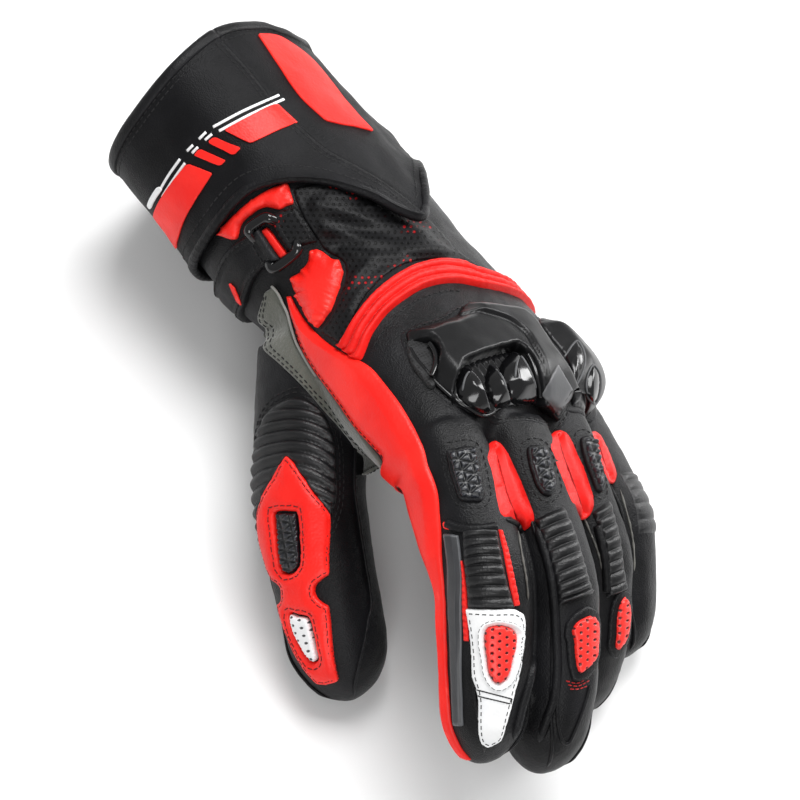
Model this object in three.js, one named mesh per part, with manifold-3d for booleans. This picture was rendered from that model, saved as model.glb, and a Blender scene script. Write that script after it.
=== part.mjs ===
// A left-hand motorcycle gauntlet of leather, lying palm down by itself with its fingers curled.
// Millimetres, +Z up. The fingers point to -Y, the cuff to +Y and the thumb lies on the -X side.
// It is drawn in the hand's own frame (back of the hand +Z) and then set down on its three low points.

import * as THREE from "three";
import { mergeVertices } from "three/addons/utils/BufferGeometryUtils.js";
import Module from "manifold-3d";

const wasm = await Module();
wasm.setup();

// Driving sizes
const WALL = 2; // leather with its lining
const GAP = 0.3; // clearance between two pieces that are sewn together
const FLAT = 1.5; // how far the leather gives where it rests
const FINGER_WIDTH = { index: 27, middle: 27, ring: 25.5, little: 23.5 };
const FINGER_LENGTH = { index: 107.5, middle: 114.5, ring: 105, little: 89 };
const FINGER_DEPTH = 1.17; // depth of a finger as a share of its width
const FINGER_CLEARANCE = 0.6; // between the sides of neighbouring fingers
const THUMB_LENGTH = 122.5;
const THUMB_WIDTH = 36;
const PALM_LENGTH = 94;
const PALM_MARGIN = 0.4; // the palm is this much wider, each side, than the row of fingers
const WRIST_WIDTH = 82;
const WRIST_DEPTH = 60;
const CUFF_LENGTH = 97;
const CUFF_WIDTH = 84;
const CUFF_DEPTH = 71;
const AROUND = 14; // corners round a finger
const PALM_AROUND = 24; // corners round the palm and the wrist
const CUFF_AROUND = 30; // corners round the cuff
const PATCH = 1.4; // thickness of a sewn-on leather patch

const RED = "red_leather";
const BLACK = "black_leather";
const COLOURS = {
  black_leather: [0x191a1c, 0.55],
  red_leather: [0xf02a1a, 0.5],
  white_leather: [0xf2f1ee, 0.5],
  olive_suede: [0x5d5f55, 0.9],
  satin_plastic: [0x141416, 0.35],
  gloss_plastic: [0x0b0b0d, 0.12],
  grey_plastic: [0x4a4c50, 0.45],
  pebble_rubber: [0x1d2025, 0.5],
  red_plastic: [0xe8352c, 0.4],
};

// Small tools for lofted leather
const rad = THREE.MathUtils.degToRad;
const clamp = THREE.MathUtils.clamp;
const lerp = THREE.MathUtils.lerp;
const ease = (x) => {
  const t = clamp(x, 0, 1);
  return t * t * (3 - 2 * t);
};

// A smooth curve through values given at shares.
function curve(shares, values) {
  const last = shares.length - 1;
  const slope = values.map((v, i) => {
    const a = Math.max(i - 1, 0);
    const b = Math.min(i + 1, last);
    return (values[b] - values[a]) / (shares[b] - shares[a]);
  });
  return (x) => {
    const at = clamp(x, shares[0], shares[last]);
    let i = 0;
    while (i < last - 1 && at > shares[i + 1]) i += 1;
    const h = shares[i + 1] - shares[i];
    const t = (at - shares[i]) / h;
    const t2 = t * t;
    const t3 = t2 * t;
    return (
      (2 * t3 - 3 * t2 + 1) * values[i] +
      (t3 - 2 * t2 + t) * h * slope[i] +
      (3 * t2 - 2 * t3) * values[i + 1] +
      (t3 - t2) * h * slope[i + 1]
    );
  };
}

// A limb is a bent tube: a spine that flexes at its joints, and a rounded section along it.
// Turn 0 is its back, 90 the thumb's side, 180 the palm's side and -90 the little finger's side.
class Limb {
  constructor(spec) {
    Object.assign(this, { yaw: 0, pitch: 0, roll: 0, joints: [], bends: [], dome: 0, slant: 0 }, spec);
    this.side = curve(this.shares, this.sides);
    this.up = curve(this.shares, this.ups);
    this.down = curve(this.shares, this.downs);
    this.frame = new THREE.Matrix4()
      .makeTranslation(...this.origin)
      .multiply(new THREE.Matrix4().makeRotationZ(rad(-this.yaw)))
      .multiply(new THREE.Matrix4().makeRotationX(rad(this.pitch)))
      .multiply(new THREE.Matrix4().makeRotationY(rad(-this.roll)));
    if (this.backward) this.frame.multiply(new THREE.Matrix4().makeScale(1, -1, 1));
    this.spine = [[0, 0]];
    const steps = 200;
    for (let i = 0; i < steps; i += 1) {
      const bend = rad(this.flex(((i + 0.5) / steps) * this.length));
      const [y, z] = this.spine[i];
      const h = this.length / steps;
      this.spine.push([y - Math.cos(bend) * h, z - Math.sin(bend) * h]);
    }
  }

  // Degrees of bend at a distance along the limb; a joint spreads over half its width each way.
  flex(s) {
    const reach = this.sides[0] * 0.66;
    return this.joints.reduce(
      (sum, j, i) => sum + this.bends[i] * ease((s - j * this.length + reach) / (2 * reach)),
      0,
    );
  }

  // The point at a share of the length and a turn, lifted off the leather's face.
  point(share, turn, lift = 0) {
    const start = this.length - this.dome;
    let s = share * this.length;
    let k = 1;
    if (this.dome && s > start) {
      const t = Math.min((s - start) / this.dome, 1);
      k = Math.sqrt(Math.max(1 - t * t, 0));
      s = start + (this.dome + lift) * t;
    }
    const inside = clamp(s, 0, this.length);
    const place = (inside / this.length) * 200;
    const i = Math.min(Math.floor(place), 199);
    const bend = rad(this.flex(inside));
    const over = s - inside;
    const y = lerp(this.spine[i][0], this.spine[i + 1][0], place - i) - Math.cos(bend) * over;
    const z = lerp(this.spine[i][1], this.spine[i + 1][1], place - i) - Math.sin(bend) * over;
    const sn = Math.sin(rad(turn));
    const cs = Math.cos(rad(turn));
    const depth = (cs > 0 ? this.up(share) : this.down(share)) + lift;
    const across = Math.sign(sn) * Math.abs(sn) ** (2 / 2.4) * (this.side(share) + lift) * k;
    const high = Math.sign(cs) * Math.abs(cs) ** (2 / 2.4) * depth * k;
    const slant = rad(this.slant) * share;
    return new THREE.Vector3(
      -across * Math.cos(slant),
      y - across * Math.sin(slant) - high * Math.sin(bend),
      z + high * Math.cos(bend),
    ).applyMatrix4(this.frame);
  }
}

// The hand's limbs
const names = ["index", "middle", "ring", "little"];
const rowWidth =
  names.reduce((sum, n) => sum + FINGER_WIDTH[n], 0) + FINGER_CLEARANCE * (names.length - 1);
const palmHalf = rowWidth / 2 + PALM_MARGIN;
const FINGERS = {
  // start and rise place the knuckle along and above the palm, as shares of its length
  index: { start: 0.957, rise: 0.023, yaw: 5, roll: 4, bends: [24, 29, 9] },
  middle: { start: 0.984, rise: 0.05, yaw: 0.5, roll: -3.5, bends: [26, 23.5, 16.5] },
  ring: { start: 0.91, rise: 0.034, yaw: -4.7, roll: 1, bends: [30, 28, 22] },
  little: { start: 0.793, rise: -0.057, yaw: -9.2, roll: -18, bends: [17.5, 28, 7] },
};
const LIMBS = {};
let across = -rowWidth / 2 + 1.5;
for (const name of names) {
  const w = FINGER_WIDTH[name];
  const d = w * FINGER_DEPTH;
  const f = FINGERS[name];
  LIMBS[name] = new Limb({
    origin: [across + w / 2, 4 - f.start * PALM_LENGTH, f.rise * PALM_LENGTH],
    yaw: f.yaw,
    roll: f.roll,
    length: FINGER_LENGTH[name],
    joints: [0.02, 0.46, 0.74],
    bends: f.bends,
    dome: 0.7 * w,
    shares: [0, 0.25, 0.5, 0.75, 1],
    sides: [0.5, 0.5, 0.49, 0.47, 0.44].map((k) => k * w),
    ups: [0.48, 0.48, 0.47, 0.45, 0.42].map((k) => k * d),
    downs: [0.52, 0.52, 0.51, 0.48, 0.44].map((k) => k * d),
  });
  across += w + FINGER_CLEARANCE;
}
LIMBS.thumb = new Limb({
  origin: [-0.56 * palmHalf, -0.16 * PALM_LENGTH, -0.25 * WRIST_DEPTH],
  yaw: 20.4,
  pitch: 35.8,
  roll: 70.7,
  length: THUMB_LENGTH,
  joints: [0.42, 0.72],
  bends: [19, 5],
  dome: 0.61 * THUMB_WIDTH,
  shares: [0, 0.25, 0.5, 0.75, 1],
  sides: [0.5, 0.5, 0.48, 0.45, 0.43].map((k) => k * THUMB_WIDTH),
  ups: [0.44, 0.44, 0.42, 0.39, 0.37].map((k) => k * THUMB_WIDTH),
  downs: [0.55, 0.55, 0.52, 0.49, 0.46].map((k) => k * THUMB_WIDTH),
});
LIMBS.palm = new Limb({
  origin: [0, 4, 0],
  length: PALM_LENGTH,
  dome: 14,
  slant: 11.5,
  shares: [0, 0.25, 0.5, 0.75, 1],
  sides: [WRIST_WIDTH / 2, palmHalf * 0.84, palmHalf * 0.92, palmHalf * 0.98, palmHalf],
  ups: [0.52, 0.51, 0.47, 0.43, 0.37].map((k) => k * WRIST_DEPTH),
  downs: [0.48, 0.48, 0.46, 0.4, 0.33].map((k) => k * WRIST_DEPTH),
});
LIMBS.cuff = new Limb({
  origin: [0, -4, 0],
  yaw: -18.6,
  pitch: 12.7,
  backward: true,
  length: CUFF_LENGTH,
  shares: [0, 0.5, 1],
  sides: [0.5, 0.5, 0.49].map((k) => k * CUFF_WIDTH),
  ups: [0.5, 0.485, 0.46].map((k) => k * CUFF_DEPTH),
  downs: [0.5, 0.485, 0.46].map((k) => k * CUFF_DEPTH),
});

// Setting the glove down: its leather is dropped on the three low points that hold it up.
const setDown = new THREE.Matrix4();
let floor = -Infinity; // no floor until the rest is found

// A point stays above the floor by its depth below the outermost layer there. Round the wrist
// and the palm that layer is a sewn-on patch or strap.
function at(limb, share, turn, lift = 0, depth = null) {
  const under = limb === "palm" || limb === "cuff" ? PATCH + GAP : 0;
  const p = LIMBS[limb].point(share, turn, lift).applyMatrix4(setDown);
  p.z = Math.max(p.z, floor + Math.max(depth ?? under - lift, 0));
  return p;
}

// Closed solids
function solid(points, faces) {
  const geometry = new THREE.BufferGeometry();
  geometry.setAttribute(
    "position",
    new THREE.Float32BufferAttribute(points.flatMap((p) => [p.x, p.y, p.z]), 3),
  );
  geometry.setIndex(faces.flat());
  const merged = mergeVertices(geometry, 1e-4);
  const corner = merged.index.array;
  const kept = [];
  for (let i = 0; i < corner.length; i += 3) {
    const [a, b, c] = corner.slice(i, i + 3);
    if (a !== b && b !== c && a !== c) kept.push(a, b, c);
  }
  const build = (list) =>
    new wasm.Manifold(
      new wasm.Mesh({
        numProp: 3,
        vertProperties: merged.attributes.position.array,
        triVerts: new Uint32Array(list),
      }),
    );
  const made = build(kept);
  if (made.volume() >= 0) return made;
  const turned = [];
  for (let i = 0; i < kept.length; i += 3) turned.push(kept[i], kept[i + 2], kept[i + 1]);
  return build(turned);
}

// A solid from rings of equal count, one after another; each end is closed by a fan.
function rings(list, looped = false) {
  const n = list[0].length;
  const points = list.flat();
  const faces = [];
  const count = looped ? list.length : list.length - 1;
  for (let r = 0; r < count; r += 1) {
    const a = r * n;
    const b = ((r + 1) % list.length) * n;
    for (let i = 0; i < n; i += 1) {
      const j = (i + 1) % n;
      faces.push([a + i, a + j, b + j], [a + i, b + j, b + i]);
    }
  }
  if (!looped) {
    for (const [r, way] of [[0, 1], [list.length - 1, -1]]) {
      const centre = new THREE.Vector3();
      list[r].forEach((p) => centre.addScaledVector(p, 1 / n));
      points.push(centre);
      const c = points.length - 1;
      for (let i = 0; i < n; i += 1) {
        const j = (i + 1) % n;
        faces.push(way > 0 ? [r * n + j, r * n + i, c] : [r * n + i, r * n + j, c]);
      }
    }
  }
  return solid(points, faces);
}

const spread = (n, from, to) => Array.from({ length: n + 1 }, (_, i) => lerp(from, to, i / n));
const turns = (n) => Array.from({ length: n }, (_, i) => (360 * i) / n - 180);

// The whole of a limb as one rounded body, at any lift, from a share of its length to its tip.
function body(name, lift, from = 0, n = AROUND, rows = 8) {
  const limb = LIMBS[name];
  const start = limb.dome ? 1 - limb.dome / limb.length : 1;
  const shares = spread(rows, from, start);
  if (limb.dome) {
    for (const t of [0.42, 0.72, 0.92, 1]) shares.push(lerp(start, 1, t));
  }
  return rings(shares.map((s) => turns(n).map((turn) => at(name, s, turn, lift))));
}

// A wall round a limb between two edges that vary with the turn.
function wall(n, rows, low, high) {
  return rings(
    turns(n).map((turn) => [
      ...spread(rows, 0, 1).map((t) => high(turn, t)),
      ...spread(rows, 1, 0).map((t) => low(turn, t)),
    ]),
    true,
  );
}

// A plate sewn over the limbs. Each row runs between two ends, [limb, share, turn].
// bulge(v, w) raises the outer face by millimetres, v along the rows and w across them.
function plate(spec, low, high, grow = 0) {
  const { rows, across: n = 4, fine = 1, bulge = () => 0, margin = 0 } = spec;
  const length = (a, b) => at(...a).distanceTo(at(...b));
  const blend = (a, b, t) => [a[0], lerp(a[1], b[1], t), lerp(a[2], b[2], t)];
  const list = [];
  rows.forEach((row, r) => {
    list.push(row);
    const next = rows[r + 1];
    if (!next || next[0][0] !== row[0][0] || next[1][0] !== row[1][0]) return;
    for (let f = 1; f < fine; f += 1) {
      list.push([blend(row[0], next[0], f / fine), blend(row[1], next[1], f / fine)]);
    }
  });
  const reach = grow + margin;
  const edge = (inner, outer) => {
    const t = -reach / Math.max(length(inner[0], outer[0]), 1);
    return [blend(inner[0], outer[0], t), blend(inner[1], outer[1], t)];
  };
  if (reach) {
    list[0] = edge(list[0], list[1]);
    list[list.length - 1] = edge(list[list.length - 1], list[list.length - 2]);
  }
  const side = (lift, raised) =>
    list.map(([a, b], r) => {
      const e = reach / Math.max(length(a, b), 1);
      return spread(n, -e, 1 + e).map((w) => {
        const more = raised ? bulge(r / (list.length - 1), clamp(w, 0, 1)) : 0;
        if (a[0] === b[0]) return at(a[0], lerp(a[1], b[1], w), lerp(a[2], b[2], w), lift + more);
        return at(...a, lift + more).lerp(at(...b, lift + more), w);
      });
    });
  const top = side(high, true);
  const foot = side(low, false);
  return rings(top.map((line, r) => [...line, ...foot[r].slice().reverse()]));
}

const join = (list) => wasm.Manifold.union(list);
const biggest = (made) => made.decompose().sort((a, b) => b.volume() - a.volume())[0];

// The wrist's sleeve runs from inside the cuff to the hand, with soft folds on its outer side.
const HAND_START = 0.29; // where the hand's leather meets the wrist's, as a share of the palm
const SLEEVE = [
  ["cuff", 0.66, -0.6],
  ["cuff", 0.5, -0.4],
  ["cuff", 0.36, 0],
  ["cuff", 0.25, -0.3],
  ["palm", 0.1, 0.2],
  ["palm", 0.19, 0],
  ["palm", HAND_START - 0.004, 0],
].map(([on, share, lift]) => ({ on, share, lift }));
const sleeveRow = (turn, lift, row) => {
  const fold = turn < 0 && turn > -120 ? 0.8 * Math.sin(row * 2.3) * Math.sin(rad(turn * 1.5)) : 0;
  const r = SLEEVE[row];
  return at(r.on, r.share, turn, lift + r.lift + fold);
};
const sleeveWall = (outer, inner) =>
  wall(
    PALM_AROUND,
    SLEEVE.length - 1,
    (turn, t) => sleeveRow(turn, inner, Math.round(t * (SLEEVE.length - 1))),
    (turn, t) => sleeveRow(turn, outer, Math.round(t * (SLEEVE.length - 1))),
  );
const sleeveBody = (lift) =>
  rings(SLEEVE.map((_, row) => turns(PALM_AROUND).map((turn) => sleeveRow(turn, lift, row))));

// The cuff's lower edge comes to a point on the back of the wrist; its rim is nearly square.
const CUFF_EDGE = curve(
  [-180, -120, -60, -25, -6, 3, 12, 24, 38, 50, 65, 83, 102, 140, 180],
  [0.42, 0.36, 0.3, 0.22, 0.11, 0.04, 0.1, 0.23, 0.33, 0.4, 0.44, 0.46, 0.46, 0.45, 0.42],
);
const CUFF_RIM = curve([-180, -60, 0, 20, 60, 100, 180], [0.94, 0.94, 0.97, 0.99, 0.97, 0.94, 0.94]);
const CUFF_LIFT = 0.5; // the cuff stands off the sleeve
const mm = 1 / CUFF_LENGTH;
const PIPING = 0.8; // how far the piping of the edge stands off the cuff's face
const cuffPoint = (turn, share, lift) => {
  const edge = 1.6 * Math.exp(-Math.max(share - CUFF_EDGE(turn), 0) / 0.05);
  const out = lift + CUFF_LIFT + (lift > 0 ? edge : 0.6 * edge);
  return at("cuff", share, turn, out, WALL + PIPING - lift);
};
const cuffWall = (from, to, inner, outer, rows) =>
  wall(
    CUFF_AROUND,
    rows,
    (turn, t) => cuffPoint(turn, lerp(from(turn), to(turn), t), inner),
    (turn, t) => cuffPoint(turn, lerp(from(turn), to(turn), t), outer),
  );
// The rest: of the planes that touch the glove at three points, the one under its weight.
{
  const under = PATCH + GAP;
  const rough = join([
    ...[...names, "thumb"].map((name) => body(name, 0)),
    body("palm", under, 0.02, PALM_AROUND, 7),
    sleeveBody(under),
    cuffWall((turn) => CUFF_EDGE(turn) - 3.2 * mm, CUFF_RIM, 0, WALL + PIPING, 4),
  ]);
  const mesh = rough.hull().getMesh();
  const corner = (i) =>
    new THREE.Vector3(...mesh.vertProperties.slice(i * mesh.numProp, i * mesh.numProp + 3));
  const skin = rough.getMesh();
  const centre = new THREE.Vector3();
  let area = 0;
  for (let i = 0; i < skin.triVerts.length; i += 3) {
    const p = [0, 1, 2].map((k) => {
      const v = skin.triVerts[i + k] * skin.numProp;
      return new THREE.Vector3(...skin.vertProperties.slice(v, v + 3));
    });
    const a = new THREE.Triangle(...p).getArea();
    area += a;
    p.forEach((q) => centre.addScaledVector(q, a / 3));
  }
  centre.divideScalar(area);
  const guess = new THREE.Vector3(0.52, 0.22, -0.82).normalize();
  let best = null;
  for (let i = 0; i < mesh.triVerts.length; i += 3) {
    const t = new THREE.Triangle(...[0, 1, 2].map((k) => corner(mesh.triVerts[i + k])));
    const normal = t.getNormal(new THREE.Vector3());
    if (normal.dot(guess) < 0.8) continue;
    const under = centre.clone().addScaledVector(normal, normal.dot(t.a.clone().sub(centre)));
    const bary = t.getBarycoord(under, new THREE.Vector3());
    const inner = Math.min(bary.x, bary.y, bary.z);
    if (!best || inner > best.inner) best = { inner, normal, point: t.a };
  }
  const up = best.normal.clone().negate();
  const x = new THREE.Vector3(0, 1, 0).cross(up).normalize();
  const y = up.clone().cross(x);
  const turn = new THREE.Matrix4().makeBasis(x, y, up).transpose();
  const low = best.point.clone().applyMatrix4(turn).z;
  setDown.makeTranslation(0, 0, -low - FLAT).multiply(turn);
  floor = 0;
}

// Main leather bodies and the room they need
const shells = {};
for (const name of [...names, "thumb"]) {
  shells[name] = {
    outer: body(name, 0),
    inner: body(name, -WALL),
    room: body(name, GAP),
  };
}
shells.palm = {
  outer: body("palm", 0, HAND_START, PALM_AROUND, 4),
  inner: body("palm", -WALL, HAND_START - 0.1, PALM_AROUND, 5),
  room: body("palm", GAP, 0.02, PALM_AROUND, 7),
};

const sleeveRoom = sleeveBody(GAP);
const cuffRoom = cuffWall(
  (turn) => CUFF_EDGE(turn) - 3.6 * mm,
  (turn) => CUFF_EDGE(turn) + 12 * mm,
  -GAP,
  WALL + 2.5,
  2,
);

const nodes = {};
nodes.cuff_shell = [cuffWall(CUFF_EDGE, CUFF_RIM, 0, WALL, 4), BLACK];
nodes.cuff_rim_binding = [
  cuffWall(
    (turn) => CUFF_RIM(turn) + GAP * mm,
    (turn) => CUFF_RIM(turn) + 3.3 * mm,
    -0.5,
    WALL + 0.6,
    1,
  ),
  BLACK,
];
nodes.cuff_edge_piping = [
  cuffWall(
    (turn) => CUFF_EDGE(turn) - 3.2 * mm,
    (turn) => CUFF_EDGE(turn) - 0.4 * mm,
    0.2,
    WALL + PIPING,
    1,
  ),
  BLACK,
];
nodes.wrist_sleeve = [sleeveWall(0, -WALL), BLACK];

// Hand, fingers and thumb
const fingerInners = names.map((name) => shells[name].inner);
nodes.hand_shell = [
  biggest(
    shells.palm.outer.subtract(join([shells.palm.inner, shells.thumb.inner, ...fingerInners])),
  ),
  BLACK,
];
const beside = { index: ["middle"], middle: [], ring: ["middle"], little: ["ring"], thumb: ["index"] };
for (const name of [...names, "thumb"]) {
  const taken = [shells[name].inner, shells.palm.room, sleeveRoom];
  beside[name].forEach((other) => taken.push(shells[other].room));
  nodes[name + (name === "thumb" ? "_shell" : "_finger_shell")] = [
    biggest(shells[name].outer.subtract(join(taken))),
    BLACK,
  ];
}

// Sewn-on pieces
const ribbed = (count, height) => (v) => height * Math.sin(Math.PI * count * v) ** 2;
const crown = (height) => (v, w) => height * Math.sin(Math.PI * clamp(w, 0.04, 0.96)) ** 0.6;
const dome = (height) => (v, w) =>
  height * (Math.sin(Math.PI * clamp(w, 0.03, 0.97)) * Math.sin(Math.PI * clamp(v, 0.06, 0.94))) ** 0.5;
const on = (limb, rows) => rows.map(([share, a, b]) => [[limb, share, a], [limb, share, b]]);
const along = (limb, rows) => rows.map(([turn, a, b]) => [[limb, a, turn], [limb, b, turn]]);
const pair = (a, b, rows) => rows.map(([sa, ta, sb, tb]) => [[a, sa, ta], [b, sb, tb]]);

const SEWN = {
  red_side_gusset: {
    rows: [
      ...on("palm", [[0.3, 97, 90], [0.46, 103, 79], [0.64, 107, 75], [0.8, 112, 76], [0.88, 118, 84]]),
      ...on("index", [[0.14, 134, 74], [0.25, 136, 80], [0.4, 136, 98], [0.55, 134, 106]]),
      ...on("index", [[0.72, 124, 100], [0.86, 118, 94]]),
    ],
    fine: 1,
    across: 3,
    slot: RED,
    over: ["palm", "index", "thumb", "middle"],
  },
  grey_suede_strip: {
    rows: on("palm", [[0.12, 150, 112], [0.28, 138, 103], [0.45, 132, 109], [0.62, 129, 112], [0.78, 125, 117]]),
    across: 3,
    slot: "olive_suede",
    over: ["palm", "thumb", "sleeve"],
  },
  red_rib_band: {
    rows: along("palm", [
      [80, 0.38, 0.49],
      [65, 0.37, 0.47],
      [50, 0.36, 0.46],
      [37, 0.34, 0.44],
      [24, 0.325, 0.425],
      [8, 0.31, 0.41],
      [-9, 0.32, 0.42],
      [-25, 0.34, 0.44],
      [-45, 0.36, 0.46],
      [-70, 0.39, 0.49],
    ]),
    across: 6,
    bulge: (v, w) => 1.3 * Math.sin(Math.PI * 3 * w) ** 2,
    slot: RED,
    over: ["palm", "sleeve"],
    clear: ["red_side_gusset"],
  },
  red_wrist_patch: {
    rows: [
      ...on("cuff", [[0.17, 84, 64]]),
      ...on("palm", [[0.1, 86, 55], [0.19, 88, 52], [0.27, 89, 60]]),
    ],
    across: 3,
    bulge: dome(1.2),
    slot: RED,
    over: ["palm", "sleeve"],
  },
  red_wrist_tab: {
    rows: on("cuff", [[0.37, 92, 60], [0.44, 91, 56]]),
    across: 4,
    slot: RED,
    over: ["sleeve", "cuff"],
    clear: ["strap_buckle"],
  },
  wrist_strap: {
    rows: along("cuff", [
      [98, 0.21, 0.37],
      [125, 0.21, 0.37],
      [152, 0.2, 0.355],
      [180, 0.185, 0.34],
      [205, 0.165, 0.32],
      [230, 0.145, 0.3],
      [255, 0.125, 0.28],
    ]),
    across: 2,
    slot: BLACK,
    over: ["sleeve"],
  },
  palm_heel_patch: {
    rows: on("palm", [[-0.01, 130, 228], [0.12, 132, 228], [0.3, 138, 228], [0.46, 144, 226], [0.6, 152, 220]]),
    across: 6,
    slot: "olive_suede",
    over: ["palm", "sleeve", "thumb"],
  },
  strap_buckle: {
    rows: along("cuff", [[94, 0.19, 0.39], [86, 0.19, 0.39], [78, 0.19, 0.39], [70, 0.19, 0.39]]),
    across: 3,
    thick: 2.6,
    slot: "satin_plastic",
    over: ["sleeve"],
    clear: ["strap_tab"],
  },
  strap_tab: {
    rows: along("cuff", [[90, 0.245, 0.335], [82, 0.245, 0.335], [74, 0.245, 0.335]]),
    across: 2,
    thick: 1.8,
    slot: RED,
    over: ["sleeve"],
  },
  knuckle_guard: {
    rows: on("palm", [
      [0.53, 41, -14],
      [0.58, 44, -25],
      [0.65, 45, -27],
      [0.72, 44, -27],
      [0.79, 43, -25],
      [0.85, 40, -25],
      [0.9, 32, -31],
      [0.95, 2, -38],
    ]),
    across: 8,
    thick: 2.4,
    bulge: dome(5.5),
    slot: "satin_plastic",
    over: ["palm", "index", "middle", "ring"],
    clear: ["guard_fin_1", "guard_fin_2", "guard_fin_3", "guard_vent"],
  },
  guard_fin_1: {
    rows: on("palm", [[0.72, 27, 19], [0.79, 28, 19], [0.86, 25, 18]]),
    across: 3,
    thick: 5,
    bulge: dome(2.5),
    slot: "gloss_plastic",
    over: ["palm", "index", "middle"],
  },
  guard_fin_2: {
    rows: on("palm", [[0.7, 14, 5], [0.79, 14, 4], [0.87, 12, 4]]),
    across: 3,
    thick: 5.5,
    bulge: dome(2.5),
    slot: "gloss_plastic",
    over: ["palm", "index", "middle"],
  },
  guard_fin_3: {
    rows: on("palm", [[0.71, 0, -9], [0.79, 0, -10], [0.87, -1, -9]]),
    across: 3,
    thick: 5,
    bulge: dome(2.5),
    slot: "gloss_plastic",
    over: ["palm", "index", "middle", "ring"],
  },
  outer_knuckle_guard: {
    rows: on("palm", [
      [0.6, -31, -44],
      [0.68, -32, -55],
      [0.76, -32, -62],
      [0.84, -32, -68],
      [0.9, -36, -74],
    ]),
    across: 6,
    thick: 2.4,
    bulge: dome(5),
    slot: "satin_plastic",
    over: ["palm", "ring", "little"],
  },
  index_knuckle_pad: {
    rows: on("index", [[0.075, 44, -2], [0.15, 48, 2], [0.235, 48, 8]]),
    across: 3,
    slot: "pebble_rubber",
    over: ["palm", "index", "middle"],
  },
  middle_knuckle_pad: {
    rows: on("middle", [[0.08, 26, -16], [0.15, 32, -8], [0.23, 40, 0]]),
    across: 3,
    slot: "pebble_rubber",
    over: ["palm", "index", "middle", "ring"],
  },
  ring_knuckle_pad: {
    rows: on("ring", [[0.1, 22, -18], [0.18, 26, -12], [0.265, 28, -4]]),
    across: 3,
    slot: "pebble_rubber",
    over: ["palm", "middle", "ring", "little"],
  },
  index_ribs: {
    rows: on("index", [[0.305, 58, -4], [0.51, 76, 8]]),
    fine: 16,
    across: 3,
    bulge: ribbed(8, 1.3),
    slot: BLACK,
    over: ["index", "middle"],
  },
  middle_ribs: {
    rows: on("middle", [[0.29, 44, -22], [0.525, 62, -16]]),
    fine: 18,
    across: 3,
    bulge: ribbed(9, 1.3),
    slot: BLACK,
    over: ["index", "middle", "ring"],
  },
  ring_ribs: {
    rows: on("ring", [[0.32, 38, -26], [0.535, 44, -20]]),
    fine: 16,
    across: 3,
    bulge: ribbed(8, 1.2),
    slot: BLACK,
    over: ["middle", "ring", "little"],
  },
  little_ribs: {
    rows: on("little", [[0.36, 34, -26], [0.5, 38, -22]]),
    fine: 10,
    across: 3,
    bulge: ribbed(5, 1.1),
    slot: BLACK,
    over: ["ring", "little"],
  },
  index_side_strip: {
    rows: on("index", [[0.29, 76, 63], [0.42, 90, 79], [0.55, 96, 82], [0.7, 90, 77], [0.86, 84, 74]]),
    across: 2,
    thick: 1.8,
    slot: "grey_plastic",
    over: ["index"],
    clear: ["red_side_gusset"],
  },
  index_white_pad: {
    rows: on("index", [
      [0.525, 74, -4],
      [0.6, 71, -4],
      [0.68, 68, -2],
      [0.77, 56, 6],
      [0.84, 50, 6],
      [0.9, 44, 8],
    ]),
    across: 4,
    thick: 1.8,
    slot: "white_leather",
    over: ["index", "middle"],
    clear: ["index_red_insert"],
  },
  index_red_insert: {
    rows: on("index", [[0.565, 44, 10], [0.64, 45, 9], [0.71, 38, 10]]),
    across: 3,
    thick: 2.4,
    slot: "red_plastic",
    over: ["index"],
  },
  middle_red_insert: {
    rows: on("middle", [[0.54, 27, -9], [0.61, 30, -10], [0.68, 26, -12]]),
    across: 3,
    thick: 2.2,
    slot: "red_plastic",
    over: ["middle", "ring"],
  },
  ring_red_insert: {
    rows: on("ring", [[0.56, 18, -8], [0.63, 18, -14], [0.71, 12, -18]]),
    across: 3,
    thick: 2.2,
    slot: "red_plastic",
    over: ["ring", "little"],
  },
  thumb_ribs: {
    rows: on("thumb", [[0.2, 22, -62], [0.52, 46, -72]]),
    fine: 20,
    across: 4,
    bulge: ribbed(10, 1.3),
    slot: BLACK,
    over: ["thumb", "palm", "index"],
    clear: ["thumb_red_patch", "grey_suede_strip"],
  },
  thumb_red_patch: {
    rows: on("thumb", [
      [0.36, -6, -14],
      [0.44, 18, -48],
      [0.49, 28, -58],
      [0.6, 24, -50],
      [0.68, 12, -26],
      [0.74, 22, -28],
      [0.9, 14, -22],
    ]),
    fine: 2,
    across: 4,
    thick: 1.8,
    slot: RED,
    over: ["thumb"],
    clear: ["thumb_pebble_insert", "thumb_white_insert"],
  },
  thumb_pebble_insert: {
    rows: on("thumb", [[0.47, 0, -20], [0.54, 6, -20], [0.6, 9, -12]]),
    across: 2,
    thick: 2.2,
    slot: "pebble_rubber",
    over: ["thumb"],
  },
  thumb_white_insert: {
    rows: on("thumb", [[0.745, 10, -14], [0.8, 11, -13], [0.855, 9, -8]]),
    across: 2,
    thick: 2.4,
    slot: "white_leather",
    over: ["thumb"],
  },
  index_middle_web: {
    rows: pair("index", "middle", [[0.1, -30, 0.08, 62], [0.2, -28, 0.19, 62], [0.31, -26, 0.3, 62]]),
    across: 2,
    slot: RED,
    over: ["palm", "index", "middle"],
  },
  middle_ring_web: {
    rows: pair("middle", "ring", [[0.1, -38, 0.13, 40], [0.2, -38, 0.23, 42], [0.29, -36, 0.32, 46]]),
    across: 2,
    slot: RED,
    over: ["palm", "middle", "ring"],
  },
  ring_little_web: {
    rows: pair("ring", "little", [[0.16, -38, 0.2, 40], [0.24, -38, 0.28, 42], [0.31, -38, 0.35, 46]]),
    across: 2,
    slot: RED,
    over: ["palm", "ring", "little"],
  },
};

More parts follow.
